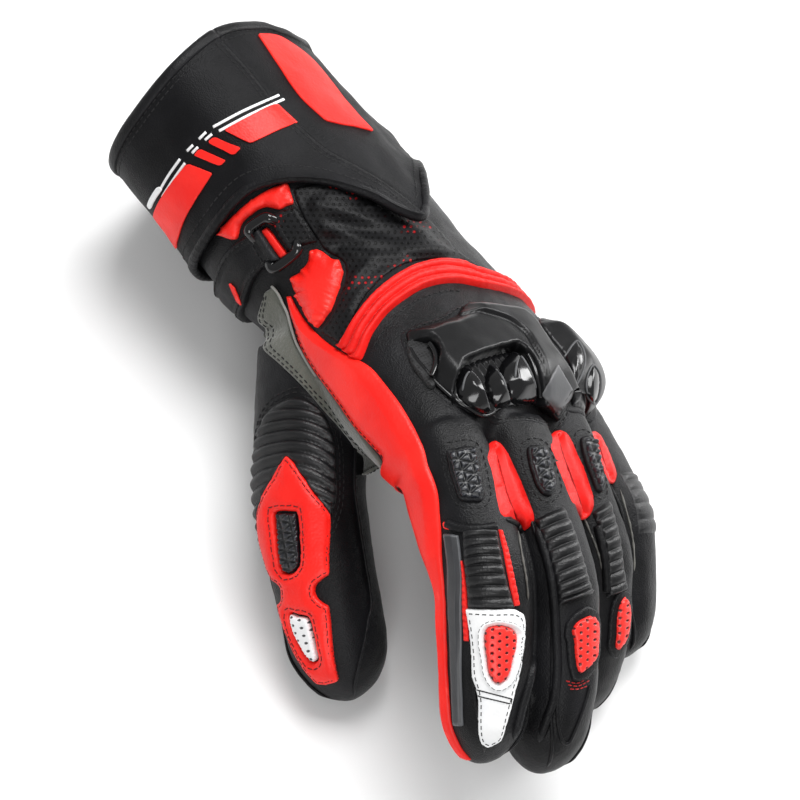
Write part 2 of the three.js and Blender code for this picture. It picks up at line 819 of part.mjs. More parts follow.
// Cutters that leave room for one piece in another, and the vent of the knuckle guard
const VENT = {
  rows: on("palm", [[0.6, 38, 30], [0.66, 39, 28], [0.74, 37, 31]]),
  across: 2,
  thick: 9,
};
const cutter = (name) => {
  const spec = name === "guard_vent" ? VENT : SEWN[name];
  return plate(spec, -1.4, GAP + (spec.thick ?? PATCH) + 2, 1.5 * GAP);
};
const room = (name) => ({ sleeve: sleeveRoom, cuff: cuffRoom })[name] ?? shells[name].room;
for (const [name, spec] of Object.entries(SEWN)) {
  const blank = plate(spec, -1, GAP + (spec.thick ?? PATCH));
  const taken = [...spec.over.map(room), ...(spec.clear ?? []).map(cutter)];
  nodes[name] = [biggest(blank.subtract(join(taken))), spec.slot];
}

// The exported group stands with the middle of its footprint at the origin.
const group = new THREE.Group();
for (const [name, [made, slot]] of Object.entries(nodes)) {
  const mesh = made.getMesh();
  const points = new Float32Array(mesh.numVert * 3);
  for (let i = 0; i < mesh.numVert; i += 1) {
    points.set(mesh.vertProperties.subarray(i * mesh.numProp, i * mesh.numProp + 3), i * 3);
  }
  const geometry = new THREE.BufferGeometry();
  geometry.setAttribute("position", new THREE.BufferAttribute(points, 3));
  geometry.setIndex(new THREE.BufferAttribute(mesh.triVerts, 1));
  const [color, roughness] = COLOURS[slot];
  const item = new THREE.Mesh(geometry, new THREE.MeshStandardMaterial({ color, roughness }));
  item.name = name;
  group.add(item);
}
const box = new THREE.Box3().setFromObject(group);
const middle = box.getCenter(new THREE.Vector3());
group.position.set(-middle.x, -middle.y, -box.min.z);

export default group;
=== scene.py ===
import math

import bpy
import numpy as np
from mathutils import Matrix, Vector, noise
from mathutils.bvhtree import BVHTree
from mathutils.geometry import delaunay_2d_cdt


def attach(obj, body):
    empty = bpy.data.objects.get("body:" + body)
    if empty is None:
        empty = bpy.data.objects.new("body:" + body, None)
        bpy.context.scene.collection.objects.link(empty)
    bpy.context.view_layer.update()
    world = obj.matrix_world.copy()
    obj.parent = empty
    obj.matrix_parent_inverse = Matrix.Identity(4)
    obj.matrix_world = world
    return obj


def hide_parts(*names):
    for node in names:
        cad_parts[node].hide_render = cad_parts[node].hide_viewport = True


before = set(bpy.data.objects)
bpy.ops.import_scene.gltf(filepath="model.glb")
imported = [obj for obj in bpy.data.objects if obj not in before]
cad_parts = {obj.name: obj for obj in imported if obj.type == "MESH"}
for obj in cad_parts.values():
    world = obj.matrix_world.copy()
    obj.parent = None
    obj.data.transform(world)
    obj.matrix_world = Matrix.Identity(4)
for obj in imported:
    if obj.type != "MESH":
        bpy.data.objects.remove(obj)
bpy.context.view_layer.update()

# The floor, the light and the camera. The glove lies palm down on a pale sweep, in soft light
# that comes from above, the right and behind, and is seen from the thumb's side.
CAMERA_ROWS = np.array([[0.8129, -0.5566, 0.1712], [0.4386, 0.7740, 0.4569], [-0.3868, -0.2963, 0.8729]])
CAMERA_ROWS = np.linalg.svd(CAMERA_ROWS)[0] @ np.linalg.svd(CAMERA_ROWS)[2]
LIES = np.array([[0.85346, 0, 0.52117], [-0.12356, 0.97149, 0.20234], [-0.50631, -0.23708, 0.82912]])
LIES_AT = np.array([19.427, 42.013, 37.576])  # millimetres, as every size below
AIM = LIES @ np.array([0, -57.0, 0]) + LIES_AT
CAMERA_FAR = 1092.0
FOCUS = 3207.0  # in pixels of a picture 800 wide
CENTRE = (460.0, 390.4)
EYE = AIM + CAMERA_ROWS[2] * CAMERA_FAR

camera = bpy.data.objects.new("camera", bpy.data.cameras.new("camera"))
camera.data.lens = FOCUS / 800 * 36
camera.data.sensor_width = 36
camera.data.shift_x = (400 - CENTRE[0]) / 800
camera.data.shift_y = (CENTRE[1] - 400) / 800
camera.data.clip_start = 0.05
camera.matrix_world = Matrix.Translation(Vector(EYE / 1000)) @ Matrix(CAMERA_ROWS.T.tolist()).to_4x4()
bpy.context.scene.collection.objects.link(camera)
bpy.context.scene.camera = camera


def sight(px, py):
    """The direction of the line of sight through a pixel."""
    x, y = (px - CENTRE[0]) / FOCUS, (CENTRE[1] - py) / FOCUS
    way = np.asarray(x)[..., None] * CAMERA_ROWS[0] + np.asarray(y)[..., None] * CAMERA_ROWS[1] - CAMERA_ROWS[2]
    return way / np.linalg.norm(way, axis=-1, keepdims=True)


def seen_at(points):
    """The pixels at which points show."""
    q = (points - EYE) @ CAMERA_ROWS.T
    return np.stack([CENTRE[0] - FOCUS * q[..., 0] / q[..., 2], CENTRE[1] + FOCUS * q[..., 1] / q[..., 2]], -1)


class Wire:
    """A value inside a finish, so that its sums are written as sums."""

    def __init__(self, finish, socket):
        self.finish = finish
        self.socket = socket

    def math(self, operation, a, b):
        return self.finish.node("ShaderNodeMath", {"operation": operation}, {0: a, 1: b})

    def __add__(self, other):
        return self.math("ADD", self, other)

    def __mul__(self, other):
        return self.math("MULTIPLY", self, other)

    def __sub__(self, other):
        return self.math("SUBTRACT", self, other)

    def __rsub__(self, other):
        return self.math("SUBTRACT", other, self)

    def __truediv__(self, other):
        return self.math("DIVIDE", self, other)

    def __pow__(self, other):
        return self.math("POWER", self, other)

    __radd__ = __add__
    __rmul__ = __mul__

    def above(self, low, high):
        """0 below low, 1 above high, smooth between."""
        return self.finish.node(
            "ShaderNodeMapRange",
            {"interpolation_type": "SMOOTHSTEP"},
            {"Value": self, "From Min": low, "From Max": high},
        )

    def of(self, name):
        return Wire(self.finish, self.socket.node.outputs[name])


class Finish:
    """One material: a Principled shader, and the nodes that vary it."""

    def __init__(self, name, colour, rough, **constants):
        self.material = bpy.data.materials.new(name)
        self.material.use_nodes = True
        self.tree = self.material.node_tree
        self.tree.nodes.clear()
        self.shader = self.tree.nodes.new("ShaderNodeBsdfPrincipled")
        self.set(self.shader.inputs["Base Color"], (*colour, 1))
        self.shader.inputs["Roughness"].default_value = rough
        for key, value in constants.items():
            self.shader.inputs[key.replace("_", " ")].default_value = value
        end = self.tree.nodes.new("ShaderNodeOutputMaterial")
        self.tree.links.new(self.shader.outputs[0], end.inputs[0])
        self.material.diffuse_color = (*colour, 1)

    def set(self, socket, value):
        if isinstance(value, Wire):
            self.tree.links.new(value.socket, socket)
        else:
            socket.default_value = value

    def node(self, kind, settings=(), sockets=()):
        made = self.tree.nodes.new(kind)
        for key, value in dict(settings).items():
            if key == "stops":
                for stop, (at, shade) in zip(made.color_ramp.elements, value):
                    stop.position, stop.color = at, shade
            else:
                setattr(made, key, value)
        for key, value in dict(sockets).items():
            self.set(made.inputs[key], value)
        shown = [s for s in made.outputs if s.enabled]
        return Wire(self, shown[0])

    def mix(self, share, a, b):
        """A colour between two colours."""
        a, b = (c if isinstance(c, Wire) else (*c, 1) for c in (a, b))
        return self.node("ShaderNodeMix", {"data_type": "RGBA"}, {0: share, 6: a, 7: b})

    def place(self):
        """The point in the object's own frame, in metres."""
        return self.node("ShaderNodeTexCoord").of("Object")

    def noise(self, scale, detail=3.0, rough=0.5):
        sockets = {"Vector": self.place(), "Scale": scale, "Detail": detail, "Roughness": rough}
        return self.node("ShaderNodeTexNoise", {}, sockets).of("Fac")

    def cells(self, scale, random=1.0):
        sockets = {"Vector": self.place(), "Scale": scale, "Randomness": random}
        return self.node("ShaderNodeTexVoronoi", {"feature": "F1"}, sockets).of("Distance")

    def worn(self):
        """How much a point stands out, for edges."""
        return self.node("ShaderNodeNewGeometry").of("Pointiness")

    def flat(self):
        """The cut piece's own flat coordinates, in millimetres; the third is the distance to its edge."""
        return self.node("ShaderNodeAttribute", {"attribute_name": "flat"}).of("Vector")

    def parts(self, wire):
        split = self.node("ShaderNodeSeparateXYZ", {}, {0: wire})
        return split.of("X"), split.of("Y"), split.of("Z")

    def put(self, **wires):
        for key, value in wires.items():
            self.set(self.shader.inputs[key.replace("_", " ")], value)

    def bump(self, height, depth):
        """Raises the surface by the height times the depth, in metres."""
        made = self.node("ShaderNodeBump", {}, {"Height": height, "Distance": depth, "Strength": 1.0})
        self.set(self.shader.inputs["Normal"], made)


def mesh_piece(name, verts, faces, finish=None, slot=None, stands_for=(), flats=None):
    """A mesh in metres from points in millimetres, riding on the glove."""
    verts = np.array(verts, float)
    verts[:, 2] = np.maximum(verts[:, 2], 0)
    mesh = bpy.data.meshes.new(name)
    mesh.from_pydata((verts / 1000).tolist(), [], [tuple(int(i) for i in f) for f in faces])
    mesh.validate()
    if flats is not None:
        mesh.attributes.new("flat", "FLOAT_VECTOR", "POINT").data.foreach_set(
            "vector", np.asarray(flats, float).ravel()
        )
    mesh.polygons.foreach_set("use_smooth", [True] * len(mesh.polygons))
    made = bpy.data.objects.new(name, mesh)
    bpy.context.scene.collection.objects.link(made)
    if finish:
        mesh.materials.append(finish.material)
    if slot:
        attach(made, "root")
    if stands_for:
        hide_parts(*stands_for)
    return made


sweep = Finish("pale_sweep", (0.86, 0.86, 0.86), 0.9)
sweep.put(Base_Color=sweep.mix(sweep.noise(8.0), (0.84, 0.84, 0.84), (0.88, 0.88, 0.88)))
floor = mesh_piece(
    "floor",
    [(-4000, -4000, -0.2), (4000, -4000, -0.2), (4000, 4000, -0.2), (-4000, 4000, -0.2)],
    [(0, 1, 2, 3)],
    sweep,
)
floor.location.z = -0.0002

bpy.context.scene.view_settings.view_transform = "Standard"
world = bpy.data.worlds.new("studio")
world.use_nodes = True
world.node_tree.nodes["Background"].inputs["Color"].default_value = (1, 1, 1, 1)
world.node_tree.nodes["Background"].inputs["Strength"].default_value = 0.42
bpy.context.scene.world = world


def lamp(name, at, size, watts):
    data = bpy.data.lights.new(name, "AREA")
    data.shape = "RECTANGLE"
    data.size, data.size_y = size
    data.energy = watts
    made = bpy.data.objects.new(name, data)
    made.location = at
    made.rotation_euler = (Vector((0, 0, 0.04)) - Vector(at)).to_track_quat("-Z", "Y").to_euler()
    bpy.context.scene.collection.objects.link(made)


lamp("top_light", (0.3, 0.3, 1.1), (0.7, 0.6), 14)
lamp("side_light", (0.8, 0.0, 0.42), (0.2, 0.7), 6)
lamp("front_light", (-0.6, -0.7, 0.75), (0.5, 0.4), 4.5)


# The hand: the palm, four curled fingers, the thumb and the wrist are one skin of black
# full-grain leather, sewn from panels over a lining, 2 mm thick and hollow to the fingertips.
FINGER_WIDTH = {"index": 27, "middle": 27, "ring": 25.5, "little": 23.5}
WALL = 2.0
CUFF_LENGTH = 97
FOOT = 0.7  # how far a sewn-on piece reaches under the leather
PIXEL = 0.34  # millimetres in a pixel, about
LATTICE_ROW = 0.866  # from one row of a lattice of equal triangles to the next, for a pitch of 1


def ease(x):
    x = np.clip(x, 0, 1)
    return x * x * (3 - 2 * x)


def curve(shares, values):
    """A smooth curve through values given at shares."""
    shares, values = np.array(shares, float), np.array(values, float)
    low = np.maximum(np.arange(len(shares)) - 1, 0)
    high = np.minimum(np.arange(len(shares)) + 1, len(shares) - 1)
    slope = (values[high] - values[low]) / (shares[high] - shares[low])

    def at(x):
        x = np.clip(x, shares[0], shares[-1])
        i = np.clip(np.searchsorted(shares, x) - 1, 0, len(shares) - 2)
        h = shares[i + 1] - shares[i]
        t = (x - shares[i]) / h
        return (
            (2 * t**3 - 3 * t**2 + 1) * values[i]
            + (t**3 - 2 * t**2 + t) * h * slope[i]
            + (3 * t**2 - 2 * t**3) * values[i + 1]
            + (t**3 - t**2) * h * slope[i + 1]
        )

    return at


def turned(axis, degrees):
    return np.array(Matrix.Rotation(math.radians(degrees), 3, axis))


class Limb:
    """A bent tube. Turn 0 is its back, 90 the thumb's side, 180 the palm's side."""

    def __init__(self, origin, length, sides, ups, downs, yaw=0, pitch=0, roll=0, joints=(), bends=(),
                 dome=0.0, slant=0.0, shares=(0, 0.25, 0.5, 0.75, 1), backward=False):
        self.length, self.dome, self.slant = length, dome, slant
        self.side, self.up, self.down = curve(shares, sides), curve(shares, ups), curve(shares, downs)
        self.width = sides[0] * 2
        steps = np.linspace(0, length, 201)
        reach = sides[0] * 0.66
        flex = sum((b * ease((steps - j * length + reach) / (2 * reach)) for j, b in zip(joints, bends)), 0 * steps)
        self.steps, self.flex = steps, np.radians(flex)
        middle = (self.flex[1:] + self.flex[:-1]) / 2
        h = length / 200
        self.y = np.concatenate([[0], np.cumsum(-np.cos(middle) * h)])
        self.z = np.concatenate([[0], np.cumsum(-np.sin(middle) * h)])
        own = turned("Z", -yaw) @ turned("X", pitch) @ turned("Y", -roll)
        if backward:
            own = own @ np.diag([1, -1, 1])
        self.turn_in = LIES @ own
        self.origin = LIES @ np.array(origin, float) + LIES_AT

    def point(self, share, turn, lift=0.0):
        share, turn, lift = np.broadcast_arrays(*(np.asarray(v, float) for v in (share, turn, lift)))
        s = share * self.length
        k = np.ones_like(s)
        if self.dome:
            start = self.length - self.dome
            t = np.clip((s - start) / self.dome, 0, 1)
            k = np.sqrt(1 - t * t)
            s = np.where(t > 0, start + (self.dome + lift) * t, s)
        inside = np.clip(s, 0, self.length)
        bend = np.interp(inside, self.steps, self.flex)
        over = s - inside
        y = np.interp(inside, self.steps, self.y) - np.cos(bend) * over
        z = np.interp(inside, self.steps, self.z) - np.sin(bend) * over
        sn, cs = np.sin(np.radians(turn)), np.cos(np.radians(turn))
        depth = np.where(cs > 0, self.up(share), self.down(share)) + lift
        across = np.sign(sn) * np.abs(sn) ** (2 / 2.4) * (self.side(share) + lift) * k
        high = np.sign(cs) * np.abs(cs) ** (2 / 2.4) * depth * k
        slant = math.radians(self.slant) * share
        own = np.stack(
            [-across * np.cos(slant), y - across * np.sin(slant) - high * np.sin(bend), z + high * np.cos(bend)], -1
        )
        return own @ self.turn_in.T + self.origin


def finger(name, origin, length, yaw, roll, bends):
    w = FINGER_WIDTH[name]
    return Limb(
        origin, length, [w * k for k in (0.5, 0.5, 0.49, 0.47, 0.44)],
        [w * 1.17 * k for k in (0.48, 0.48, 0.47, 0.45, 0.42)],
        [w * 1.17 * k for k in (0.52, 0.52, 0.51, 0.48, 0.44)],
        yaw=yaw, roll=roll, joints=(0.02, 0.46, 0.74), bends=bends, dome=0.7 * w,
    )


LIMBS = {
    "index": finger("index", (-37.4, -85.96, 2.16), 107.5, 5, 4, (24, 29, 9)),
    "middle": finger("middle", (-9.8, -88.5, 4.7), 114.5, 0.5, -3.5, (26, 23.5, 16.5)),
    "ring": finger("ring", (17.05, -81.54, 3.2), 105, -4.7, 1, (30, 28, 22)),
    "little": finger("little", (42.15, -70.54, -5.36), 89, -9.2, -18, (17.5, 28, 7)),
    "thumb": Limb(
        (-29.57, -15.04, -15), 122.5, [36 * k for k in (0.5, 0.5, 0.48, 0.45, 0.43)],
        [36 * k for k in (0.44, 0.44, 0.42, 0.39, 0.37)], [36 * k for k in (0.55, 0.55, 0.52, 0.49, 0.46)],
        yaw=20.4, pitch=35.8, roll=70.7, joints=(0.42, 0.72), bends=(19, 5), dome=22,
    ),
    "palm": Limb(
        (0, 4, 0), 94, [41, 44.4, 48.6, 51.7, 52.8], [31.2, 30.6, 28.2, 25.8, 22.2],
        [28.8, 28.8, 27.6, 24, 19.8], dome=14, slant=11.5,
    ),
    "cuff": Limb(
        (0, -4, 0), CUFF_LENGTH, [42, 42, 41.2], [35.5, 34.4, 32.7], [35.5, 34.4, 32.7],
        yaw=-18.6, pitch=12.7, shares=(0, 0.5, 1), backward=True,
    ),
}
WRIST_ROWS = [("cuff", 0.66, -0.6), ("cuff", 0.5, -0.4), ("cuff", 0.36, 0), ("cuff", 0.25, -0.3),
              ("palm", 0.1, 0.2), ("palm", 0.19, 0), ("palm", 0.286, 0)]


def capped(rows):
    """Points and faces of a closed tube from rings of equal count."""
    rows = np.asarray(rows)
    m, n = rows.shape[:2]
    points = np.concatenate([rows.reshape(-1, 3), rows[:1].mean(1), rows[-1:].mean(1)])
    i = np.arange(n)
    j = (i + 1) % n
    faces = []
    for r in range(m - 1):
        faces += list(zip(r * n + i, r * n + j, (r + 1) * n + j, (r + 1) * n + i))
    faces += list(zip(j, i, np.full(n, m * n)))
    faces += list(zip((m - 1) * n + i, (m - 1) * n + j, np.full(n, m * n + 1)))
    return points, faces


def limb_tube(name, lift, start=0.0, rows=70, around=72):
    limb = LIMBS[name]
    turns = np.linspace(-180, 180, around, endpoint=False)
    dome_at = 1 - limb.dome / limb.length
    shares = np.concatenate(
        [np.linspace(start, dome_at, rows), dome_at + (1 - dome_at) * np.sin(np.linspace(0, math.pi / 2, 16))[1:]]
    )
    return capped(limb.point(shares[:, None], turns[None], lift))


def wrist_tube(lift, extra):
    """The wrist's sleeve as one smooth tube from inside the cuff to the hand."""
    turns = np.linspace(-180, 180, 140, endpoint=False)
    knots = np.array([LIMBS[on].point(s, turns, up + lift) for on, s, up in WRIST_ROWS])
    knots[0] += (knots[0] - knots[1]) * extra
    at = np.linspace(0, len(knots) - 1, 60)
    i = np.clip(at.astype(int), 0, len(knots) - 2)
    t = (at - i)[:, None, None]
    before, after = knots[np.maximum(i - 1, 0)], knots[np.minimum(i + 2, len(knots) - 1)]
    a, b = knots[i], knots[i + 1]
    return a + 0.5 * t * (b - before + t * (2 * before - 5 * a + 4 * b - after + t * (3 * (a - b) + after - before)))


def joined(tubes):
    points, faces, base = [], [], 0
    for p, f in tubes:
        points.append(p)
        faces += [tuple(int(k) + base for k in face) for face in f]
        base += len(p)
    return np.concatenate(points), faces


def changed(thing, kind, **settings):
    """The mesh of an object after one modifier, kept."""
    modifier = thing.modifiers.new(kind.lower(), kind)
    for key, value in settings.items():
        setattr(modifier, key, value)
    done = bpy.data.meshes.new_from_object(thing.evaluated_get(bpy.context.evaluated_depsgraph_get()))
    thing.modifiers.clear()
    old, thing.data = thing.data, done
    bpy.data.meshes.remove(old)


def points_of(thing):
    """The points of a mesh, in millimetres."""
    out = np.empty(len(thing.data.vertices) * 3)
    thing.data.vertices.foreach_get("co", out)
    return out.reshape(-1, 3) * 1000


def normals_of(thing):
    out = np.empty(len(thing.data.vertices) * 3)
    thing.data.vertices.foreach_get("normal", out)
    return out.reshape(-1, 3)


def set_points(thing, points):
    thing.data.vertices.foreach_set("co", (points / 1000).ravel())
    thing.data.update()


FINGERS = ("index", "middle", "ring", "little")


def hand_form(lift, voxel, rounds, extra=0.0):
    tubes = [limb_tube(n, lift) for n in (*FINGERS, "thumb")]
    tubes.append(limb_tube("palm", lift, 0.02, 60, 120))
    tubes.append(capped(wrist_tube(lift, extra)))
    thing = mesh_piece("hand_form", *joined(tubes))
    changed(thing, "REMESH", mode="VOXEL", voxel_size=voxel / 1000)
    changed(thing, "SMOOTH", factor=0.5, iterations=rounds)
    return thing


hand = hand_form(0.25, 1.25, 8)
points, normals = points_of(hand), normals_of(hand)
bumps = np.array([noise.fractal(Vector(p / 14), 0.8, 2.0, 3) for p in points])
points += normals * (0.35 * bumps)[:, None]
points[:, 2] = np.maximum(points[:, 2], 0)
set_points(hand, points)
hand_skin = BVHTree.FromPolygons(points.tolist(), [tuple(p.vertices) for p in hand.data.polygons])

cavity = hand_form(-WALL - 0.2, 2.4, 4, extra=0.6)
changed(hand, "BOOLEAN", operation="DIFFERENCE", object=cavity, solver="MANIFOLD")
bpy.data.objects.remove(cavity)
hand.name = "leather_hand"
hand.data.polygons.foreach_set("use_smooth", [True] * len(hand.data.polygons))


def leather(name, colour, light, rough, grain=1900.0, depth=0.00012, crease=0.00002, **more):
    """Full-grain leather: small cells, soft creases, a little wear on what stands out."""
    made = Finish(name, colour, rough, **more)
    cell = made.cells(grain)
    tone = made.noise(55.0, 4.0)
    shade = made.mix(tone.above(0.35, 0.7), colour, light)
    worn = made.worn().above(0.515, 0.58)
    shade = made.mix(worn * 0.55, shade, tuple(min(c * 2.2 + 0.012, 1) for c in light))
    made.put(Base_Color=shade, Roughness=made.noise(900.0, 2.0) * 0.16 + (rough - 0.1) + tone * 0.06)
    made.bump(cell * depth + made.noise(190.0, 4.0, 0.6) * crease, 1.0)
    return made


black_leather = leather("black_leather", (0.0035, 0.0035, 0.004), (0.008, 0.008, 0.0092), 0.42,
                        Specular_IOR_Level=0.17)
smooth_leather = leather("smooth_leather", (0.0025, 0.0025, 0.003), (0.005, 0.005, 0.006), 0.4, 1900.0, 0.00008,
                         0.00002, Specular_IOR_Level=0.42)
hand.data.materials.clear()
hand.data.materials.append(black_leather.material)
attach(hand, "root")
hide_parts("hand_shell", "wrist_sleeve", "thumb_shell", *(n + "_finger_shell" for n in FINGERS))

# The cuff: one wall of black leather over foam, lined inside. A lapped seam runs down its back
# to the point of its lower edge, which is a padded roll; its rim is bound with a folded strip.
CUFF_EDGE = curve(
    [-180, -120, -60, -25, -6, 3, 12, 24, 35, 52, 67, 80, 93, 110, 140, 180],
    [0.42, 0.36, 0.3, 0.22, 0.11, 0.04, 0.1, 0.23, 0.325, 0.42, 0.468, 0.478, 0.47, 0.46, 0.45, 0.42],
)
CUFF_RIM = curve([-180, -120, -60, -25, -12, -4, 12, 24, 67, 112, 180],
                 [0.93, 0.91, 0.885, 0.9, 0.94, 0.98, 1.01, 1.015, 0.985, 0.955, 0.93])
CUFF_SEAM = curve([0.0, 0.12, 0.31, 0.42, 0.55, 0.68, 0.82, 1.0], [3, 3, 13.5, 21, 24, 25.5, 24, 24])
CUFF_ROUND = 40.0  # millimetres of cuff in a radian
RADIAN = 57.3  # degrees


def cuff_point(turn, share, lift):
    """A point of the cuff, lift millimetres outside its inner face."""
    flare = 1.6 * np.exp(-np.maximum(share - CUFF_EDGE(turn), 0) / 0.05)
    seam = (turn - CUFF_SEAM(share)) / RADIAN * CUFF_ROUND
    lap = np.where(lift > 1, 0.9 * ease(seam / 0.8 + 0.5) * ease((40 - seam) / 20), 0)
    groove = np.where(lift > 1, -0.8 * np.exp(-(((seam - 0.2) / 0.8) ** 2)), 0)
    return LIMBS["cuff"].point(share, turn, lift + 0.5 + flare * np.where(lift > 0, 1, 0.6) + lap + groove)


def cuff_rumple(points, turn, share):
    """Soft unevenness of the leather, more near the lower edge and on the outer side."""
    near = np.exp(-np.maximum(share - CUFF_EDGE(turn), 0) / 0.16)
    outer = ease((10 - turn) / 40) * ease((turn + 150) / 40)
    amount = 0.35 + 0.9 * near + 0.7 * outer
    soft = np.array([noise.fractal(Vector(p / 24), 0.9, 2.0, 3) for p in points.reshape(-1, 3)])
    middle = LIMBS["cuff"].point(share, 0 * turn) * 0.5 + LIMBS["cuff"].point(share, 0 * turn + 180) * 0.5
    away = points - middle
    away /= np.linalg.norm(away, axis=-1, keepdims=True)
    return points + away * (amount * soft.reshape(points.shape[:-1]))[..., None]


def round_grid(m, n):
    """The faces of a grid of points that closes on itself both ways."""
    grid = np.arange(m * n).reshape(m, n)
    ahead = np.roll(grid, -1, 1)
    return np.stack([grid, ahead, np.roll(ahead, -1, 0), np.roll(grid, -1, 0)], -1).reshape(-1, 4)


AROUND = np.linspace(-180, 180, 400, endpoint=False)
climb = ease(np.linspace(0, 1, 80)) * 0.5 + np.linspace(0, 1, 80) * 0.5
low, high = CUFF_EDGE(AROUND)[None], CUFF_RIM(AROUND)[None]
cuff_share = low + (high - low) * climb[:, None]
cuff_turn = np.broadcast_to(AROUND[None], cuff_share.shape)
outside = cuff_rumple(cuff_point(cuff_turn, cuff_share, 2.0 + 0 * cuff_share), cuff_turn, cuff_share)
inside = cuff_rumple(cuff_point(cuff_turn, cuff_share, 0 * cuff_share), cuff_turn, cuff_share)
rows = np.concatenate([outside, inside[::-1]])
m, n = rows.shape[:2]
faces = round_grid(m, n)
cuff_leather = leather("cuff_leather", (0.003, 0.003, 0.0036), (0.006, 0.006, 0.007), 0.5, 1900.0, 0.00012, 0.00002,
                       Specular_IOR_Level=0.13)
cuff = mesh_piece("cuff", rows.reshape(-1, 3), faces, cuff_leather, "black_leather", ["cuff_shell"])
lining = Finish("lining", (0.012, 0.012, 0.013), 0.85)
knit = lining.node("ShaderNodeTexWave", {"bands_direction": "DIAGONAL"}, {"Scale": 500.0, "Distortion": 1.5})
lining.put(Base_Color=lining.mix(knit, (0.006, 0.006, 0.007), (0.03, 0.03, 0.032)))
lining.bump(knit, 0.0003)
cuff.data.materials.append(lining.material)
inner_side = (np.arange(len(faces)) // n >= len(climb)) & (np.arange(len(faces)) // n < m - 1)
cuff.data.polygons.foreach_set("material_index", inner_side.astype(int).tolist())
cuff_skin = BVHTree.FromPolygons(
    outside.reshape(-1, 3).tolist(), [tuple(int(i) for i in f) for f in faces[: (len(climb) - 1) * n]]
)


def rod(path, radius, sides=8, closed=False, squash=1.0, ups=None):
    """Points and faces of a round strand along a path; radius may vary along it."""
    path = np.asarray(path, float)
    radius = np.broadcast_to(radius, len(path))
    ahead = np.roll(path, -1, 0) - np.roll(path, 1, 0)
    if not closed:
        ahead[0], ahead[-1] = path[1] - path[0], path[-1] - path[-2]
    ahead /= np.linalg.norm(ahead, axis=1, keepdims=True) + 1e-9
    if ups is None:
        ups = np.tile(CAMERA_ROWS[2], (len(path), 1))
    side = np.cross(ahead, ups)
    side /= np.linalg.norm(side, axis=1, keepdims=True) + 1e-9
    over = np.cross(side, ahead)
    a = np.linspace(0, 2 * math.pi, sides, endpoint=False)
    ring = side[:, None] * np.cos(a)[None, :, None] + over[:, None] * (np.sin(a) * squash)[None, :, None]
    rings = path[:, None] + ring * radius[:, None, None]
    return (rings.reshape(-1, 3), round_grid(len(path), sides)) if closed else capped(rings)


def cuff_loop(turns, share, lift):
    """A line round the cuff that follows its unevenness."""
    return cuff_rumple(cuff_point(turns, share, lift + 0 * turns), turns, share)


# The rim's folded strip in section: millimetres across the rim, and out of the cuff's inner face.
binding = []
for across, lift in ((-3.2, -0.2), (-3.0, -0.9), (0.2, -0.9), (1.0, 0.2), (1.0, 1.8), (0.2, 2.9), (-1.4, 3.1),
                     (-2.9, 2.85), (-3.3, 2.2)):
    binding.append(cuff_loop(AROUND, CUFF_RIM(AROUND) + across / CUFF_LENGTH, lift))
binding = np.array(binding).transpose(1, 0, 2)
rim = mesh_piece("rim_binding", binding.reshape(-1, 3), round_grid(*binding.shape[:2])[:, [0, 3, 2, 1]],
                 black_leather, "black_leather", ["cuff_rim_binding"])
rim.modifiers.new("soft", "SUBSURF").levels = 1
rim.modifiers["soft"].render_levels = 1

ROLL = 1.9  # radius of the padded lower edge
turns = np.linspace(-180, 180, 720, endpoint=False)
edge_share = CUFF_EDGE(turns) + (ROLL - 1.0) / CUFF_LENGTH
gather = 1 + 0.025 * np.sin(turns * 1.1 + 2 * np.sin(turns / 17)) + 0.015 * np.sin(turns * 2.7)
path = cuff_loop(turns, edge_share, 0.9)
roll = mesh_piece("padded_edge", *rod(path, ROLL * gather, 14, True, 0.85, path - path.mean(0)), black_leather,
                  "black_leather", ["cuff_edge_piping"])

# The wrist: perforated black leather over the back of the wrist, between the cuff's point and
# the red ribs. It is punched with small holes in a regular layout and edged with a lapped seam.


def on_skin(skin, seeds):
    """The nearest places on a skin, and the way out of it there."""
    near = [skin.find_nearest(Vector(s)) for s in seeds]
    return np.array([n[0] for n in near]), np.array([n[1] for n in near])


def by_sight(skin, spots, lift=0.0):
    """Where the lines of sight through pixels land, for a face that stands lift off the skin."""
    spots = np.asarray(spots, float)
    lift = np.broadcast_to(lift, len(spots))[:, None]
    aim = spots.copy()
    eye = Vector(EYE)
    for _ in range(3 if np.any(lift) else 1):
        ways = sight(aim[:, 0], aim[:, 1])
        got = [skin.ray_cast(eye, Vector(w)) for w in ways]
        hit = np.array([g[0] is not None for g in got])
        base = np.array([g[0] if g[0] is not None else (0, 0, 0) for g in got], float)
        out = np.array([g[1] if g[0] is not None else (0, 0, 1) for g in got], float)
        if not hit.all():
            far = np.median(np.linalg.norm(base[hit] - EYE, axis=1)) if hit.any() else CAMERA_FAR
            base[~hit], out[~hit] = on_skin(skin, EYE + ways[~hit] * far)
        aim = aim - 0.8 * (seen_at(base + out * lift) - spots)
    return base, out


def round_limb(name):
    """Flat millimetres along and around a limb."""
    limb = LIMBS[name]

    def land(skin, spots, lift=0.0):
        spots = np.asarray(spots, float)
        turn = np.degrees(spots[:, 1] / (limb.width / 2))
        return on_skin(skin, limb.point(spots[:, 0] / limb.length, turn, 1.0 + np.asarray(lift)))

    return land


LIMB_GRIDS = {}


